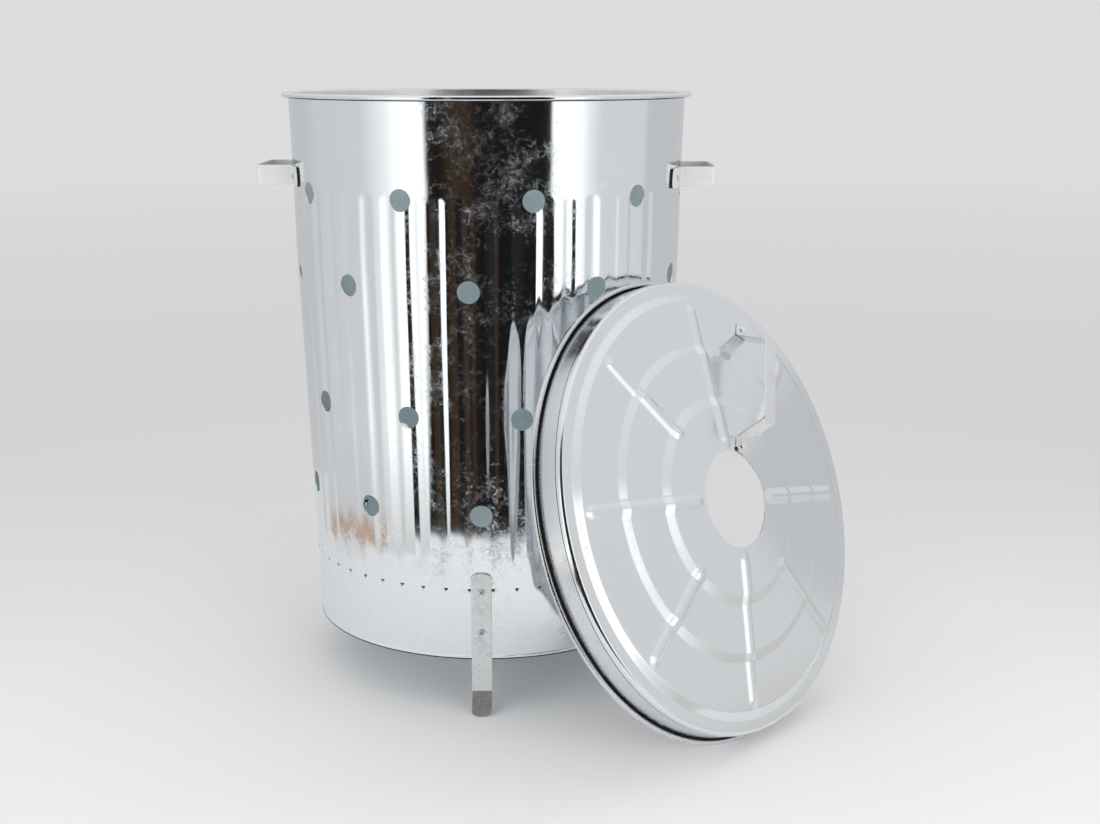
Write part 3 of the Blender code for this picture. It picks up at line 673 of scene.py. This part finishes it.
def strap_mesh(name, path, width, thickness, across, turn_r, tip):
    """A flat strap bent along a path, as one solid. Its ends are half ellipses of length tip."""
    path = bend(path, turn_r, BEND_STEPS)
    half = 0.5 * width
    lengths = [0.0]
    for a, b in zip(path, path[1:]):
        lengths.append(lengths[-1] + (b - a).length)
    total = lengths[-1]
    marks = [tip * (1.0 - math.cos(math.radians(a))) for a in TIP_ANGLES]
    clear = marks[-1] + BEVEL
    wanted = marks + [total - m for m in marks]
    wanted += [s for s in lengths if clear < s < total - marks[-1] - BEVEL]
    rows = []
    bm = bmesh.new()
    for s in sorted(wanted):
        k = max(i for i in range(len(lengths) - 1) if lengths[i] <= s + 1e-9)
        point = path[k].lerp(path[k + 1], (s - lengths[k]) / (lengths[k + 1] - lengths[k]))
        edge = min(s, total - s)
        wide = half * math.sqrt(max(0.0, 1.0 - max(0.0, 1.0 - edge / tip) ** 2.0))
        rows.append([bm.verts.new(point + across * wide), bm.verts.new(point - across * wide)])
    for (a, b), (c, d) in zip(rows, rows[1:]):
        bm.faces.new((a, b, d, c))
    bmesh.ops.recalc_face_normals(bm, faces=bm.faces)
    flat = bpy.data.meshes.new(name + "_flat")
    bm.to_mesh(flat)
    bm.free()
    obj = new_object(name + "_flat", flat)
    sheet = obj.modifiers.new("sheet", "SOLIDIFY")
    sheet.thickness, sheet.offset, sheet.use_even_offset = thickness, 0.0, True
    mesh = evaluated_mesh(obj)
    bpy.data.objects.remove(obj)
    return mesh


def build_wall(material, lining, rim_lining, gap):
    edge_r, hem_r, hem_top = wall_r(EDGE_Z), wall_r(EDGE_Z) + HEM_PROUD, EDGE_Z + HEM_HEIGHT
    hem = [
        (edge_r - SHEET, EDGE_Z),
        (edge_r + 0.5 * HEM_PROUD, EDGE_Z),
        (hem_r, EDGE_Z + 0.4 * HEM_PROUD),
        (hem_r, EDGE_Z + HEM_FOOT),
        (hem_r, hem_top - 0.0004),
        (edge_r + 0.6 * HEM_PROUD, hem_top),
        (wall_r(hem_top), hem_top + 0.0002),
    ]
    top = RIM_Z - RIM_BEAD - 0.001
    outside = [(wall_r(z), z) for z in WALL_HEIGHTS] + [(wall_r(top), top)]
    rim = arc((wall_r(RIM_Z) + RIM_OUT - RIM_BEAD, RIM_Z), RIM_BEAD, -130.0, 95.0, 16)
    lip = (wall_r(RIM_Z) + RIM_LIP_OUT, RIM_Z + RIM_LIP_RISE)
    rim += arc(lip, RIM_LIP_R, 80.0, 180.0, 4)
    inside = [(r - SHEET, z) for r, z in reversed(outside[:-1])]
    mesh = profile_mesh("wall_profile", hem + outside + rim + inside)

    # The vents' places are loose points after the profile's.
    start = len(mesh.vertices)
    spots = []
    for z, phase, nudges in VENT_RINGS:
        for k in range(VENTS_PER_RING):
            angle = phase + 360.0 / VENTS_PER_RING * k + nudges.get(k, 0.0)
            spots.append(around(math.radians(angle), wall_r(z), z))
    mesh.vertices.add(len(spots))
    for k, spot in enumerate(spots):
        mesh.vertices[start + k].co = spot
    mark = mesh.attributes.new("vent", "BOOLEAN", "POINT")
    for k in range(len(mesh.vertices)):
        mark.data[k].value = k >= start
    linings = {"Lining": lining, "Inside of the rim": rim_lining, "Painted shade": gap}
    finished(
        "bin_wall", mesh, "bin", ["body_shell"], material,
        fluted_wall_tree(), linings, sharp=28.0,
    )


def build_legs(material):
    middle = 0.5 * LEG_THICK

    def at(z):
        return Vector((0.0, -wall_r(z) - leg_offset(z) - middle, z))

    low = at(LEG_BEND_Z)
    toe = Vector((0.0, -wall_r(0.0) - LEG_TOE_OUT, 0.0))
    lift = (toe - low).normalized()
    toe += Vector((0.0, -lift.z, lift.y)) * middle
    toe.z = middle * abs(lift.y)
    path = [at(LEG_TOP_Z), at(LEG_CREASE_Z), low, toe]
    across = Vector((1.0, 0.0, 0.0))
    mesh = strap_mesh("leg", path, LEG_WIDTH, LEG_THICK, across, LEG_BEND_R, LEG_TIP)

    # The toe is stretched or shortened below its bend, to end on the floor.
    drop = min(v.co.z for v in mesh.vertices)
    for vert in mesh.vertices:
        if vert.co.z < LEG_BEND_Z:
            vert.co.z -= drop * (LEG_BEND_Z - vert.co.z) / LEG_BEND_Z
    finished(
        "strap_legs", mesh, "bin", ["leg_front", "leg_right", "leg_left"],
        material, leg_copies_tree(), bevel=BEVEL,
    )


def build_grips(material, cut):
    z, middle = GRIP_Z, 0.5 * GRIP_THICK
    r = wall_r(z) + GAP + middle
    start, end = (math.asin(s / r) for s in (GRIP_HALF_SPAN, GRIP_HALF_SPAN + GRIP_FLANGE))
    steps = GRIP_FLANGE_STEPS
    swings = [end + (start - end) * i / steps for i in range(steps + 1)]
    half = [Vector((r * math.cos(a), r * math.sin(a), z)) for a in swings]
    half.append(Vector((wall_r(z) + GRIP_STANDOFF - middle, GRIP_HALF_SPAN, z)))
    path = half + [Vector((p.x, -p.y, p.z)) for p in reversed(half)]
    mesh = strap_mesh("grip", path, GRIP_HEIGHT, GRIP_THICK, UP, GRIP_BEND_R, GRIP_TIP)
    for vert in mesh.vertices:
        vert.co.x += TAPER * (vert.co.z - z)
    finished(
        "side_grips", mesh, "bin", ["side_handle_left", "side_handle_right"],
        material, grip_copies_tree(), {"Cut end": cut}, bevel=BEVEL,
    )


def rivet_points(name, seats):
    """Loose points where rivets sit, each with the way that it faces."""
    mesh = bpy.data.meshes.new(name)
    mesh.from_pydata([seat for seat, _ in seats], [], [])
    facing = mesh.attributes.new("out", "FLOAT_VECTOR", "POINT")
    for k, (_, direction) in enumerate(seats):
        facing.data[k].vector = direction
    return mesh


def build_rivets(tree, material, lid_material):
    seats, nodes = [], []

    def seat(theta, z, stack):
        seats.append((around(theta, wall_r(z), z) + outward(theta) * stack, outward(theta)))

    for place, name in enumerate(("front", "right", "left")):
        for level, z in zip(("upper", "lower"), LEG_RIVET_Z):
            seat(leg_angle(place), z, leg_offset(z) + LEG_THICK + GAP)
            nodes.append(f"leg_{name}_rivet_{level}")
    for name, side in (("left", -1), ("right", 1)):
        z = GRIP_Z - (GRIP_RIGHT_DROP if side > 0 else 0.0)
        swing = math.asin((GRIP_HALF_SPAN + GRIP_RIVET_IN) / wall_r(z))
        for end_name, end in (("front", -side), ("back", side)):
            seat(side * 0.5 * math.pi + end * swing, z, 2.0 * GAP + GRIP_THICK)
            nodes.append(f"handle_{name}_rivet_{end_name}")
    grip = {"Grip": LEG_THICK + SHEET + 3.0 * GAP}
    finished(
        "bin_rivets", rivet_points("bin_rivet_seats", seats), "bin", nodes,
        material, tree, grip,
    )
    lid_seats = [(at + out * (2.0 * GAP + KNOB_THICK), out) for at, out in knob_seats()]
    finished(
        "lid_rivets", rivet_points("lid_rivet_seats", lid_seats), "lid",
        ["lid_rivet_outer", "lid_rivet_inner"], lid_material, tree, grip,
    )


def lid_height(r):
    """Height of the lid's face over its corner plane, between the ribs."""
    for (r0, h0), (r1, h1) in zip(LID_PROFILE, LID_PROFILE[1:]):
        if r <= r1:
            return h0 + (h1 - h0) * max(0.0, (r - r0) / (r1 - r0))
    return 0.0


def knob_seats():
    """Where each rivet of the lid handle crosses the lid, with the face's normal there."""
    for tip, base in (KNOB_RADII[:2], KNOB_RADII[:3:-1]):
        r, step = 0.5 * (tip + base), 0.001
        slope = (lid_height(r + step) - lid_height(r - step)) / 0.002
        yield KNOB_OUT * r + UP * lid_height(r), (UP - KNOB_OUT * slope).normalized()


def build_lid_top(material, gap):
    face = [(r, 0.0, h) for r, h in LID_PROFILE] + [(LID_CORNER_R, 0.0, 0.0)]
    face = bend(face, LID_BEND_R, 4)
    face = spaced([p for p in face if p.x < LID_CORNER_R - LID_ROUND], LID_SPACING)
    upper = [(p.x, p.z) for p in face]
    lower = [(p.x, p.z - SHEET) for p in face]
    round_at, skirt_r = (LID_CORNER_R - LID_ROUND, -LID_ROUND), LID_CORNER_R + LID_FLARE
    corner = arc(round_at, LID_ROUND, 90.0, 0.0, 6)
    skirt = [
        (skirt_r, -LID_SKIRT + 0.001),
        (skirt_r - 0.0002, -LID_SKIRT),
        (skirt_r - SHEET, -LID_SKIRT),
    ]
    inner = arc(round_at, LID_ROUND - SHEET, 0.0, 90.0, 4)
    mesh = profile_mesh("lid_profile", upper + corner + skirt + inner + lower[::-1])
    finished(
        "lid_face", mesh, "lid", ["lid_top"], material,
        ribbed_lid_tree(), {"Painted shade": gap}, sharp=40.0,
    )


def build_band(material, gap):
    top_r, low = LID_CORNER_R - SHEET - GAP, -BEAD_DROP
    flare = top_r + LID_FLARE * (LID_SKIRT - BAND_TOP) / (LID_SKIRT - LID_ROUND)
    foot, lip = LID_CORNER_R + BAND_OUT, LID_CORNER_R + BEAD_OUT + BEAD_R
    roll, floor = BAND_ROLL, low - BAND_GUTTER
    outer = [(top_r, -BAND_TOP), (flare, -LID_SKIRT)]
    outer += [(foot, low + 1.1 * BEAD_R), (foot, low + 0.6 * BEAD_R)]
    gutter = arc((foot + GUTTER_R, floor + GUTTER_R), GUTTER_R, 180.0, 270.0, 4)
    gutter_lip = (lip - 2.0 * roll - GUTTER_LIP_R, floor + GUTTER_LIP_R)
    gutter += arc(gutter_lip, GUTTER_LIP_R, 270.0, 350.0, 4)
    curl = arc((lip - roll, low + 0.0002), roll, 180.0, 0.0, 12)
    curl += arc((lip - BEAD_R, low), BEAD_R, -8.0, -90.0, 8)
    curl += arc((foot + 0.002, low), BEAD_R, -90.0, -150.0, 4)
    inner = [(foot - SHEET, low + 0.0006), (flare - SHEET, -LID_SKIRT), (top_r - SHEET, -BAND_TOP)]
    mesh = profile_mesh("band_profile", outer + gutter + curl + inner)
    finished(
        "lid_edge_band", mesh, "lid", ["lid_band"], material,
        rolled_band_tree(), {"Painted shade": gap}, sharp=40.0,
    )


def build_lid_handle(material):
    across = Vector((-math.sin(KNOB_ANGLE), math.cos(KNOB_ANGLE), 0.0))
    lift = GAP + 0.5 * KNOB_THICK
    heights = [lid_height(r) + lift for r in KNOB_RADII]
    heights[2] = lid_height(KNOB_RADII[1]) + KNOB_RISES[0]
    heights[3] = lid_height(KNOB_RADII[4]) + KNOB_RISES[1]
    path = [KNOB_OUT * r + UP * h for r, h in zip(KNOB_RADII, heights)]
    mesh = strap_mesh("lid_grip", path, KNOB_WIDTH, KNOB_THICK, across, KNOB_BEND_R, KNOB_TIP)
    finished(
        "lid_grip", mesh, "lid", ["lid_handle"], material, bevel=BEVEL
    )


def new_material(name):
    """A new material, its tree and its shader."""
    material = bpy.data.materials.new(name)
    material.use_nodes = True
    return material, Tree(material.node_tree), material.node_tree.nodes["Principled BSDF"]


# Bloom is duller, greyer and a little less metallic. It gathers where the sheet was worked.
CLOUD_SHARE, GRAIN_SHARE, PATCH_SHARE = 0.7, 0.3, 0.6
BLOOM_CONTRAST, BLOOM_METAL_LOSS = 4.5, 0.06
WORKED_BLOOM, WORKED_GRAIN, GRAIN_ROUGHNESS = 0.3, 0.22, 0.06
WAVES_PER_METRE, GRAIN_HEIGHT = 14.0, 0.000003


def cloud_group():
    """Cloudy bloom and fine grain of hot-dip zinc, from a point in metres."""
    group = bpy.data.node_groups.new("zinc bloom", "ShaderNodeTree")
    face = group.interface
    face.new_socket(name="Point", in_out="INPUT", socket_type="NodeSocketVector")
    for label, value in (("Cloud size", 0.014), ("Cover", 0.5), ("Patch size", 0.09)):
        socket = face.new_socket(name=label, in_out="INPUT", socket_type="NodeSocketFloat")
        socket.default_value = value
    for label in ("Bloom", "Grain"):
        face.new_socket(name=label, in_out="OUTPUT", socket_type="NodeSocketFloat")
    tree = Tree(group)
    start, end = group.nodes.new("NodeGroupInput"), group.nodes.new("NodeGroupOutput")
    point, *given = start.outputs[:4]
    size, cover, patch = (Number(tree, socket) for socket in given)
    clouds = tree.noise(point, Scale=1.0 / size, Detail=8.0, Roughness=0.62, Distortion=1.1)
    patches = tree.noise(point, Scale=1.0 / patch, Detail=3.0, Roughness=0.6, Distortion=0.0)
    grain = tree.noise(point, Scale=5.0 / size, Detail=3.0, Roughness=0.6, Distortion=0.0)
    level = clouds * CLOUD_SHARE + grain * GRAIN_SHARE + (patches - 0.5) * PATCH_SHARE
    level = level - (1.0 - cover)
    tree.join(tree.math("MULTIPLY", level, BLOOM_CONTRAST, clamp=True), end.inputs["Bloom"])
    tree.join(grain, end.inputs["Grain"])
    return group


ZINCS = {
    "bright zinc of the wall": dict(
        colour=(0.84, 0.877, 0.903), shine=0.07, dull=0.31,
        size=0.0068, cover=0.497, patch=0.05, wave=0.0003, grey=0.97,
    ),
    "dull zinc inside": dict(
        colour=(0.78, 0.86, 0.88), shine=0.42, dull=0.6,
        size=0.012, patch=0.09, metal=0.6, grey=0.9,
    ),
    "zinc inside the rim": dict(
        colour=(0.78, 0.8, 0.81), shine=0.32, dull=0.48,
        size=0.005, grey=0.95,
    ),
    "bright zinc of the lid": dict(
        colour=(0.835, 0.86, 0.876), shine=0.16, dull=0.34,
        size=0.01, cover=0.45, patch=0.06, wave=0.0003, grey=0.95,
    ),
    "zinc of the lid's band": dict(
        colour=(0.73, 0.75, 0.77), shine=0.25, dull=0.4,
        size=0.009, cover=0.48, patch=0.05, wave=0.0002, grey=0.9,
    ),
    "zinc on the straps": dict(
        colour=(0.69, 0.7, 0.7), shine=0.22, dull=0.4,
        size=0.005, wave=0.0001, metal=0.83,
    ),
    "pale zinc on the side grips": dict(
        colour=(0.58, 0.59, 0.58), shine=0.52, dull=0.62,
        size=0.008, metal=0.12, grey=0.93,
    ),
    "zinc on the lid handle": dict(
        colour=(0.85, 0.86, 0.86), shine=0.22, dull=0.38,
        size=0.006, cover=0.48, wave=0.0001,
    ),
    "zinc on the rivets": dict(
        colour=(0.78, 0.78, 0.78), shine=0.12, dull=0.28,
        size=0.0012, patch=0.02, grey=0.6,
    ),
}


def zinc(
    name, bloom, colour, shine, dull, size, cover=0.5, patch=0.03, wave=0.0, metal=1.0, grey=0.85
):
    """Galvanised steel: bright metal, as rough as shine says, and bloom, as rough as dull says."""
    material, tree, shader = new_material(name)
    point = tree.put("ShaderNodeTexCoord", out=3)
    sizes = {"Point": point, "Cloud size": size, "Cover": cover, "Patch size": patch}
    marks = tree.put("ShaderNodeGroup", inputs=sizes, node_tree=bloom).node
    cloud, grain = (Number(tree, socket) for socket in marks.outputs)
    worked = Number(tree, tree.put("ShaderNodeAttribute", attribute_name="worked", out=2))
    cloud = cloud * (1.0 + WORKED_BLOOM * worked) + worked * grain * WORKED_GRAIN
    cloud = tree.least(cloud, 1.0)
    dusty = [grey * c for c in colour]
    tree.join(tree.mix(cloud, (*colour, 1.0), (*dusty, 1.0)), shader.inputs["Base Color"])
    tree.join(metal - (BLOOM_METAL_LOSS * metal) * cloud, shader.inputs["Metallic"])
    rough = shine + (dull - shine) * cloud + (grain - 0.5) * GRAIN_ROUGHNESS
    tree.join(rough, shader.inputs["Roughness"])
    if wave:
        slow = tree.noise(point, Scale=WAVES_PER_METRE, Detail=1.0)
        height = slow * wave + grain * cloud * GRAIN_HEIGHT
        height = {"Strength": 1.0, "Distance": 1.0, "Height": height}
        tree.join(tree.put("ShaderNodeBump", inputs=height), shader.inputs["Normal"])
    return material


def painted_shade_material():
    """Painted shade: a near-black, faintly mottled colour for the shadow in rolled edges, nicks,
    the hem, the skirt foot, the gutter and cut ends.
    """
    material, tree, shader = new_material("painted shade in rolled edges")
    shade_mottle = tree.noise(tree.put("ShaderNodeTexCoord", out=3), Scale=60.0)
    mix = tree.mix(shade_mottle, (0.012, 0.011, 0.01, 1.0), (0.035, 0.033, 0.03, 1.0))
    tree.join(mix, shader.inputs["Base Color"])
    shader.inputs["Roughness"].default_value = 0.8
    shader.inputs["Specular IOR Level"].default_value = 0.15
    return material


BACKDROP = (0.72, 0.72, 0.73)
FLOOR_PAPER = (0.82, 0.82, 0.825)
FLOOR_R, FADE_FROM, FADE_OVER = 30.0, 0.6, 0.9
GLOW_LEAST, GLOW_GAIN, GLOW_FROM, GLOW_OVER = 0.91, 0.09, 2.5, 6.0

# What stands round the studio, as azimuth in degrees and colour. The light is WHITE times it.
WHITE = 1.3
ROOM = (
    (-180.0, (0.43, 0.43, 0.435)),
    (-125.0, (0.44, 0.44, 0.445)),
    (-108.0, (0.5, 0.5, 0.505)),
    (-72.0, (0.52, 0.52, 0.525)),
    (-56.0, (0.74, 0.74, 0.74)),
    (-48.0, (1.0, 1.0, 1.0)),
    (-33.0, (1.0, 1.0, 1.0)),
    (-31.5, (0.006, 0.006, 0.006)),
    (-24.0, (0.009, 0.007, 0.006)),
    (-20.0, (0.022, 0.015, 0.009)),
    (-16.0, (0.034, 0.023, 0.014)),
    (-12.0, (0.024, 0.017, 0.011)),
    (-8.5, (0.034, 0.019, 0.013)),
    (-6.0, (0.018, 0.011, 0.009)),
    (-2.0, (0.007, 0.006, 0.006)),
    (36.6, (0.007, 0.007, 0.007)),
    (38.2, (1.0, 1.0, 1.0)),
    (53.0, (1.0, 1.0, 1.0)),
    (60.0, (0.7, 0.7, 0.705)),
    (68.0, (0.55, 0.55, 0.555)),
    (101.0, (0.54, 0.54, 0.545)),
    (105.0, (0.45, 0.45, 0.455)),
    (180.0, (0.43, 0.43, 0.435)),
)
DARK_FROM, DARK_TO = -32.3, 37.5

# The room's sectors: first and last azimuth, nearest distance and height of the wall.
ROOM_R, FLOOR_LIFT, SECTOR_STEPS = 3.6, 0.002, 24
SECTORS = {
    "room_left": (-112.0, DARK_FROM, 0.62, 1.9),
    "room_dark": (DARK_FROM, DARK_TO, 0.7, 4.5),
    "room_right": (DARK_TO, 68.0, 0.52, 1.9),
    "room_side": (68.0, 125.0, 0.52, 0.9),
    "room_behind": (125.0, 248.0, 0.9, 0.9),
}

# The paper close to the bin as its reflections see it, darker than open paper as painted shade of
# the bin's and lid's shadow on it, and a brown rug on it.
NEAR_PAPER_IN_SHADE, NEAR_TO, NEAR_FADE = (0.475, 0.468, 0.46, 1.0), 0.58, 0.6
RUG, RUG_R, RUG_HALF, RUG_EDGE = (0.4, 0.29, 0.225, 1.0), 0.66, 0.095, 1.6
RUG_FROM, RUG_FROM_FADE, RUG_TO, RUG_TO_FADE = -110.0, 14.0, -57.0, 9.0

AMBIENT = (0.68, 0.68, 0.685, 1.0)
OVERHEAD_FROM, OVERHEAD_FADE, OVERHEAD_GAIN = 0.45, 0.35, 0.25
LAMPS = {"soft_lamp_left": (-34.0, 27.0), "soft_lamp_right": (38.0, 31.0)}
LAMP_DISTANCE, LAMP_HEIGHT, LAMP_WIDTH = 2.4, 0.6, 1.8
LAMP_AIM = AXIS + 0.2 * UP
CAMERA_AT, CAMERA_DOWN, CAMERA_SHIFT = (-0.00578, -1.69943, 0.7057), 10.69, -0.0564


def stage_floor():
    """A pale floor that fades into the studio's light grey, so that no horizon shows."""
    bm = bmesh.new()
    bmesh.ops.create_circle(bm, cap_ends=True, radius=FLOOR_R, segments=96)
    mesh = bpy.data.meshes.new("studio_floor")
    bm.to_mesh(mesh)
    bm.free()
    floor = new_object("studio_floor", mesh)
    material, tree, shader = new_material("studio floor paper")
    shader.inputs["Base Color"].default_value = (*FLOOR_PAPER, 1.0)
    shader.inputs["Roughness"].default_value = 0.9
    shader.inputs["Specular IOR Level"].default_value = 0.0
    point = tree.put("ShaderNodeTexCoord", out=3)
    far = Number(tree, tree.put("ShaderNodeVectorMath", point, operation="LENGTH", out=1))
    fade = tree.math("DIVIDE", far - FADE_FROM, FADE_OVER, clamp=True)
    level = tree.math("DIVIDE", far - GLOW_FROM, GLOW_OVER, clamp=True)
    level = GLOW_LEAST + GLOW_GAIN * level
    glow = tree.put("ShaderNodeEmission", inputs={"Color": (*BACKDROP, 1.0), "Strength": level})
    both = tree.put("ShaderNodeMixShader", fade, shader.outputs[0], glow)
    tree.join(both, tree.nodes["Material Output"].inputs["Surface"])
    mesh.materials.append(material)


def polar(azimuth, distance, z):
    """A point on the studio floor plan, by azimuth in degrees from the bin's front."""
    return around(math.radians(azimuth), distance, z) + AXIS


def room_material():
    """The boards, curtain and dark corner round the studio, by azimuth."""
    material, tree, shader = new_material("studio room")
    tree.nodes.remove(shader)
    x, y, _ = tree.split(tree.put("ShaderNodeTexCoord", out=3))
    right, front = x - AXIS.x, AXIS.y - y
    azimuth = tree.math("ARCTAN2", right, front) * (180.0 / math.pi)
    ramp = tree.put("ShaderNodeValToRGB", azimuth / 360.0 + 0.5).node
    stops = ramp.color_ramp.elements
    while len(stops) < len(ROOM):
        stops.new(0.5)
    for stop, (angle, _) in zip(stops, ROOM):
        stop.position = angle / 360.0 + 0.5
    for stop, (_, colour) in zip(stops, ROOM):
        stop.color = (*colour, 1.0)
    reach = tree.hypot(right, front)
    # Close to the bin the room's glow takes the paper's painted shade.
    away = tree.math("DIVIDE", reach - NEAR_TO, NEAR_FADE, clamp=True)
    away = tree.most(away, tree.between(azimuth, DARK_FROM, DARK_TO))
    mix = tree.mix(away, NEAR_PAPER_IN_SHADE, ramp.outputs[0])
    ring = 1.0 - tree.math("ABSOLUTE", reach - RUG_R) / RUG_HALF
    span = tree.least((azimuth - RUG_FROM) / RUG_FROM_FADE, (RUG_TO - azimuth) / RUG_TO_FADE)
    rug = tree.math("MULTIPLY", tree.least(tree.most(ring, 0.0), span), RUG_EDGE, clamp=True)
    mix = tree.mix(rug, mix, RUG)
    glow = tree.put("ShaderNodeEmission", inputs={"Color": mix, "Strength": WHITE})
    tree.join(glow, tree.nodes["Material Output"].inputs["Surface"])
    return material


def sector(name, first, last, near, top, material):
    """Part of the room's floor and wall that only the object's reflections see."""
    points, faces = [], []
    for i in range(SECTOR_STEPS + 1):
        a = first + (last - first) * i / SECTOR_STEPS
        points += [polar(a, near, FLOOR_LIFT), polar(a, ROOM_R, FLOOR_LIFT), polar(a, ROOM_R, top)]
        if i:
            k = 3 * i
            faces += [(k - 3, k - 2, k + 1, k), (k - 2, k - 1, k + 2, k + 1)]
    mesh = bpy.data.meshes.new(name)
    mesh.from_pydata(points, [], faces)
    mesh.materials.append(material)
    obj = new_object(name, mesh)
    obj.visible_camera = obj.visible_diffuse = obj.visible_shadow = False
    obj.visible_transmission = obj.visible_volume_scatter = False


def soft_lamp(name, azimuth, power):
    """A large lamp that lights the floor and dull parts but is not mirrored."""
    data = bpy.data.lights.new(name, "AREA")
    data.shape, data.energy = "RECTANGLE", power
    data.size, data.size_y = LAMP_WIDTH, 0.5 * LAMP_WIDTH
    obj = new_object(name, data)
    obj.location = polar(azimuth, LAMP_DISTANCE, LAMP_HEIGHT)
    obj.rotation_euler = (LAMP_AIM - obj.location).to_track_quat("-Z", "Y").to_euler()
    obj.visible_camera = obj.visible_glossy = False


def stage_light():
    """The backdrop as the camera and mirrors see it, the light it gives, the room and lamps."""
    world = bpy.data.worlds.new("studio")
    bpy.context.scene.world = world
    world.use_nodes = True
    tree = Tree(world.node_tree)
    sky = tree.nodes["Background"]
    path = tree.put("ShaderNodeLightPath").node
    seen = tree.most(path.outputs["Is Camera Ray"], path.outputs["Is Glossy Ray"])
    seen = tree.most(seen, path.outputs["Is Transmission Ray"])
    tree.join(tree.mix(seen, AMBIENT, (*BACKDROP, 1.0)), sky.inputs["Color"])
    _, _, up = tree.split(tree.put("ShaderNodeTexCoord"))
    overhead = tree.math("DIVIDE", up - OVERHEAD_FROM, OVERHEAD_FADE, clamp=True)
    tree.join(1.0 + OVERHEAD_GAIN * overhead, sky.inputs["Strength"])

    room = room_material()
    for name, sizes in SECTORS.items():
        sector(name, *sizes, room)
    for name, (azimuth, power) in LAMPS.items():
        soft_lamp(name, azimuth, power)


def stand_camera():
    data = bpy.data.cameras.new("photo_view")
    data.lens, data.sensor_width, data.shift_y = 50.0, 36.0, CAMERA_SHIFT
    camera = new_object("photo_view", data)
    camera.location = CAMERA_AT
    camera.rotation_euler = (math.radians(90.0 - CAMERA_DOWN), 0.0, 0.0)
    bpy.context.scene.camera = camera


bloom = cloud_group()
zincs = [zinc(name, bloom, **look) for name, look in ZINCS.items()]
body_zinc, lining_zinc, rim_zinc, lid_zinc, band_zinc = zincs[:5]
strap_zinc, grip_zinc, handle_zinc, rivet_zinc = zincs[5:]
# Painted shade: one near-black material for the shadowed gaps, nicks, edges and cut ends.
painted_shade = painted_shade_material()

build_wall(body_zinc, lining_zinc, rim_zinc, painted_shade)
build_legs(strap_zinc)
build_grips(grip_zinc, painted_shade)
build_lid_top(lid_zinc, painted_shade)
build_band(band_zinc, painted_shade)
build_lid_handle(handle_zinc)
build_rivets(rivet_tree(), rivet_zinc, handle_zinc)

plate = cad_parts["base_plate"]
for material_slot in plate.material_slots:
    material_slot.material = lining_zinc

stage_floor()
stage_light()
stand_camera()
bpy.context.scene.view_settings.view_transform = "Standard"
